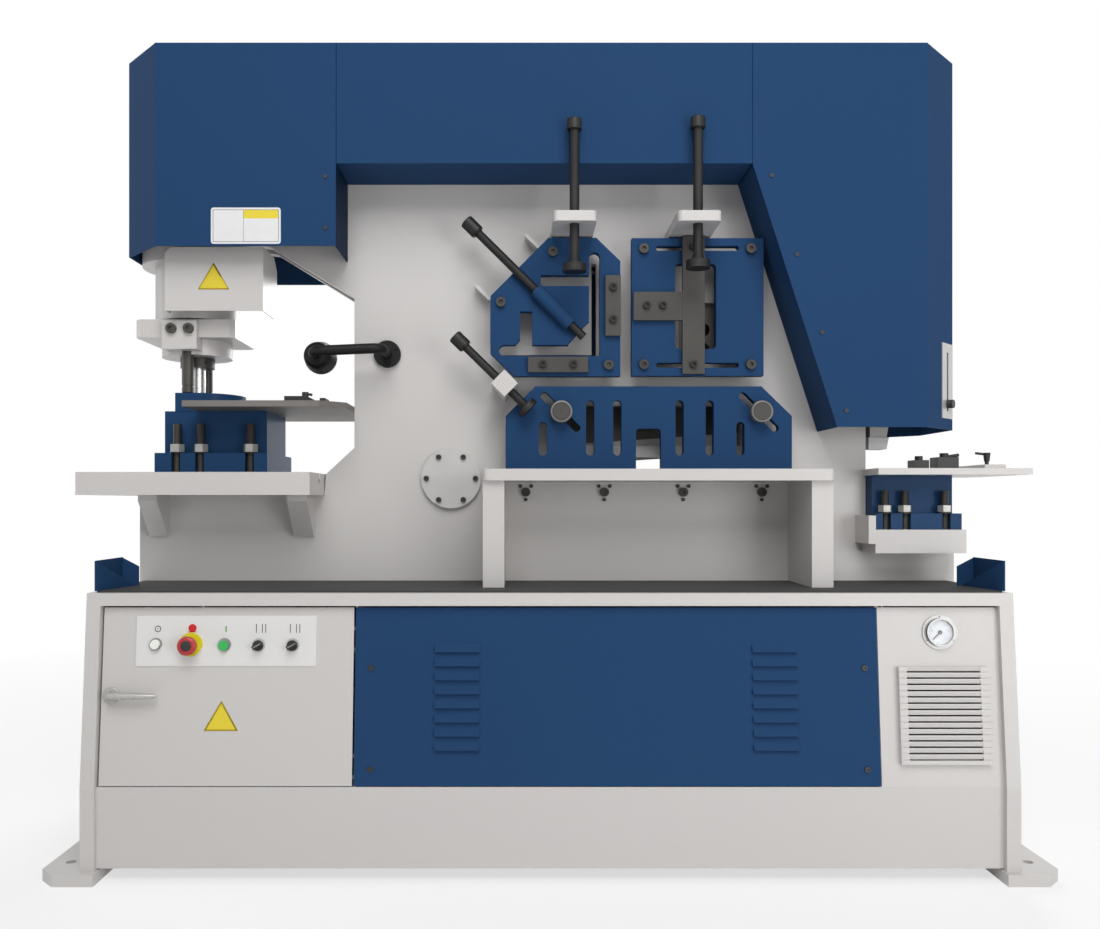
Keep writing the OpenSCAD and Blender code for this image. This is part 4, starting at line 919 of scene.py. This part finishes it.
# %% Room
world = bpy.data.worlds.new("room")
bpy.context.scene.world = world
world.use_nodes = True
sky = world.node_tree
sky.nodes.clear()
ROOM_LIGHT = 0.20
path = sky.nodes.new("ShaderNodeLightPath")
room_light = sky.nodes.new("ShaderNodeBackground")
room_seen = sky.nodes.new("ShaderNodeBackground")
for background in (room_light, room_seen):
    background.inputs["Color"].default_value = (1, 1, 1, 1)
room_light.inputs["Strength"].default_value = ROOM_LIGHT
mirrored = sky.nodes.new("ShaderNodeMath")
looked_at = sky.nodes.new("ShaderNodeMath")
mirrored.operation = looked_at.operation = "MAXIMUM"
mixer = sky.nodes.new("ShaderNodeMixShader")
sky_out = sky.nodes.new("ShaderNodeOutputWorld")
sky.links.new(path.outputs["Is Glossy Ray"], mirrored.inputs[0])
sky.links.new(path.outputs["Is Transmission Ray"], mirrored.inputs[1])
sky.links.new(mirrored.outputs[0], looked_at.inputs[0])
sky.links.new(path.outputs["Is Camera Ray"], looked_at.inputs[1])
sky.links.new(looked_at.outputs[0], mixer.inputs[0])
sky.links.new(room_light.outputs[0], mixer.inputs[1])
sky.links.new(room_seen.outputs[0], mixer.inputs[2])
sky.links.new(mixer.outputs[0], sky_out.inputs[0])
print("room", world.name, "lights at", ROOM_LIGHT)

# %% Floor
bpy.ops.object.select_all(action="DESELECT")
bpy.ops.mesh.primitive_plane_add(size=60, location=(0, 0, -0.0005))
floor = bpy.context.object
floor.name = "floor"
ground = Finish("floor paint")
ground.set(Base_Color=rgb(246, 246, 246), Roughness=0.9, Specular_IOR_Level=0.1)
FADE_FROM, FADE_OVER = 1.6, 2.4
floor_x, floor_y = ground.axis("X"), ground.axis("Y")
far = ((floor_x * floor_x + floor_y * floor_y).math("POWER", 0.5)
       - FADE_FROM).math("DIVIDE", FADE_OVER, clamp=True)
rays = [ground.node("ShaderNodeLightPath", out=f"Is {kind} Ray")
        for kind in ("Camera", "Glossy", "Transmission")]
in_view = rays[0].math("MAXIMUM", rays[1]).math("MAXIMUM", rays[2])
plain_white = ground.node("ShaderNodeEmission", {}, {"Color": (1, 1, 1, 1), "Strength": 1.0})
floor_paint = Value(ground, ground.surface.outputs["BSDF"])
blended = ground.node("ShaderNodeMixShader", {},
                      {0: in_view * (far * 0.35 + 0.65), 1: floor_paint, 2: plain_white})
ground.feed(ground.tree.nodes["Material Output"].inputs["Surface"], blended)
floor.data.materials.append(ground.material)
floor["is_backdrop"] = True
print("floor fades over", FADE_OVER, "m")

# %% Lamps
def lamp(name, place, target, size_m, power):
    light = bpy.data.lights.new(name, "AREA")
    light.shape, light.size, light.energy = "SQUARE", size_m, power
    holder = bpy.data.objects.new(name, light)
    bpy.context.scene.collection.objects.link(holder)
    holder.location = place
    holder.rotation_euler = (Vector(target) - Vector(place)).to_track_quat("-Z", "Y").to_euler()
    print("lamp", name, power, "W")


lamp("high front", (0.1, -3.6, 4.2), (0, 0, 0.9), 3.2, 152)
lamp("key from the right", (2.6, -3.6, 1.0), (0, 0, 0.8), 1.8, 46)
lamp("left fill", (-4.6, 0.4, 2.4), (0, 0, 0.9), 2.6, 34)
lamp("rear fill", (1.2, 4.6, 3.2), (0, 0, 0.9), 3.0, 190)

# %% Camera
WIDE, FOCAL, SENSOR = 1100, 1000, 36.0
SHIFT_X, SHIFT_Y = 30, 37.5
EYE = Vector((-0.064, -2.486, 0.803))
camera = bpy.data.cameras.new("camera")
camera.sensor_width, camera.lens = SENSOR, SENSOR * FOCAL / WIDE
camera.shift_x, camera.shift_y = SHIFT_X / WIDE, SHIFT_Y / WIDE
camera_object = bpy.data.objects.new("camera", camera)
bpy.context.scene.collection.objects.link(camera_object)
camera_object.location = EYE
camera_object.rotation_euler = (math.radians(90), 0, 0)
bpy.context.scene.camera = camera_object
bpy.context.scene.view_settings.view_transform = "Standard"
print("camera lens", round(camera.lens, 2), "mm")

# %% Close the frame
size["scene"] = [list(v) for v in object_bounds()]
print("size", size)
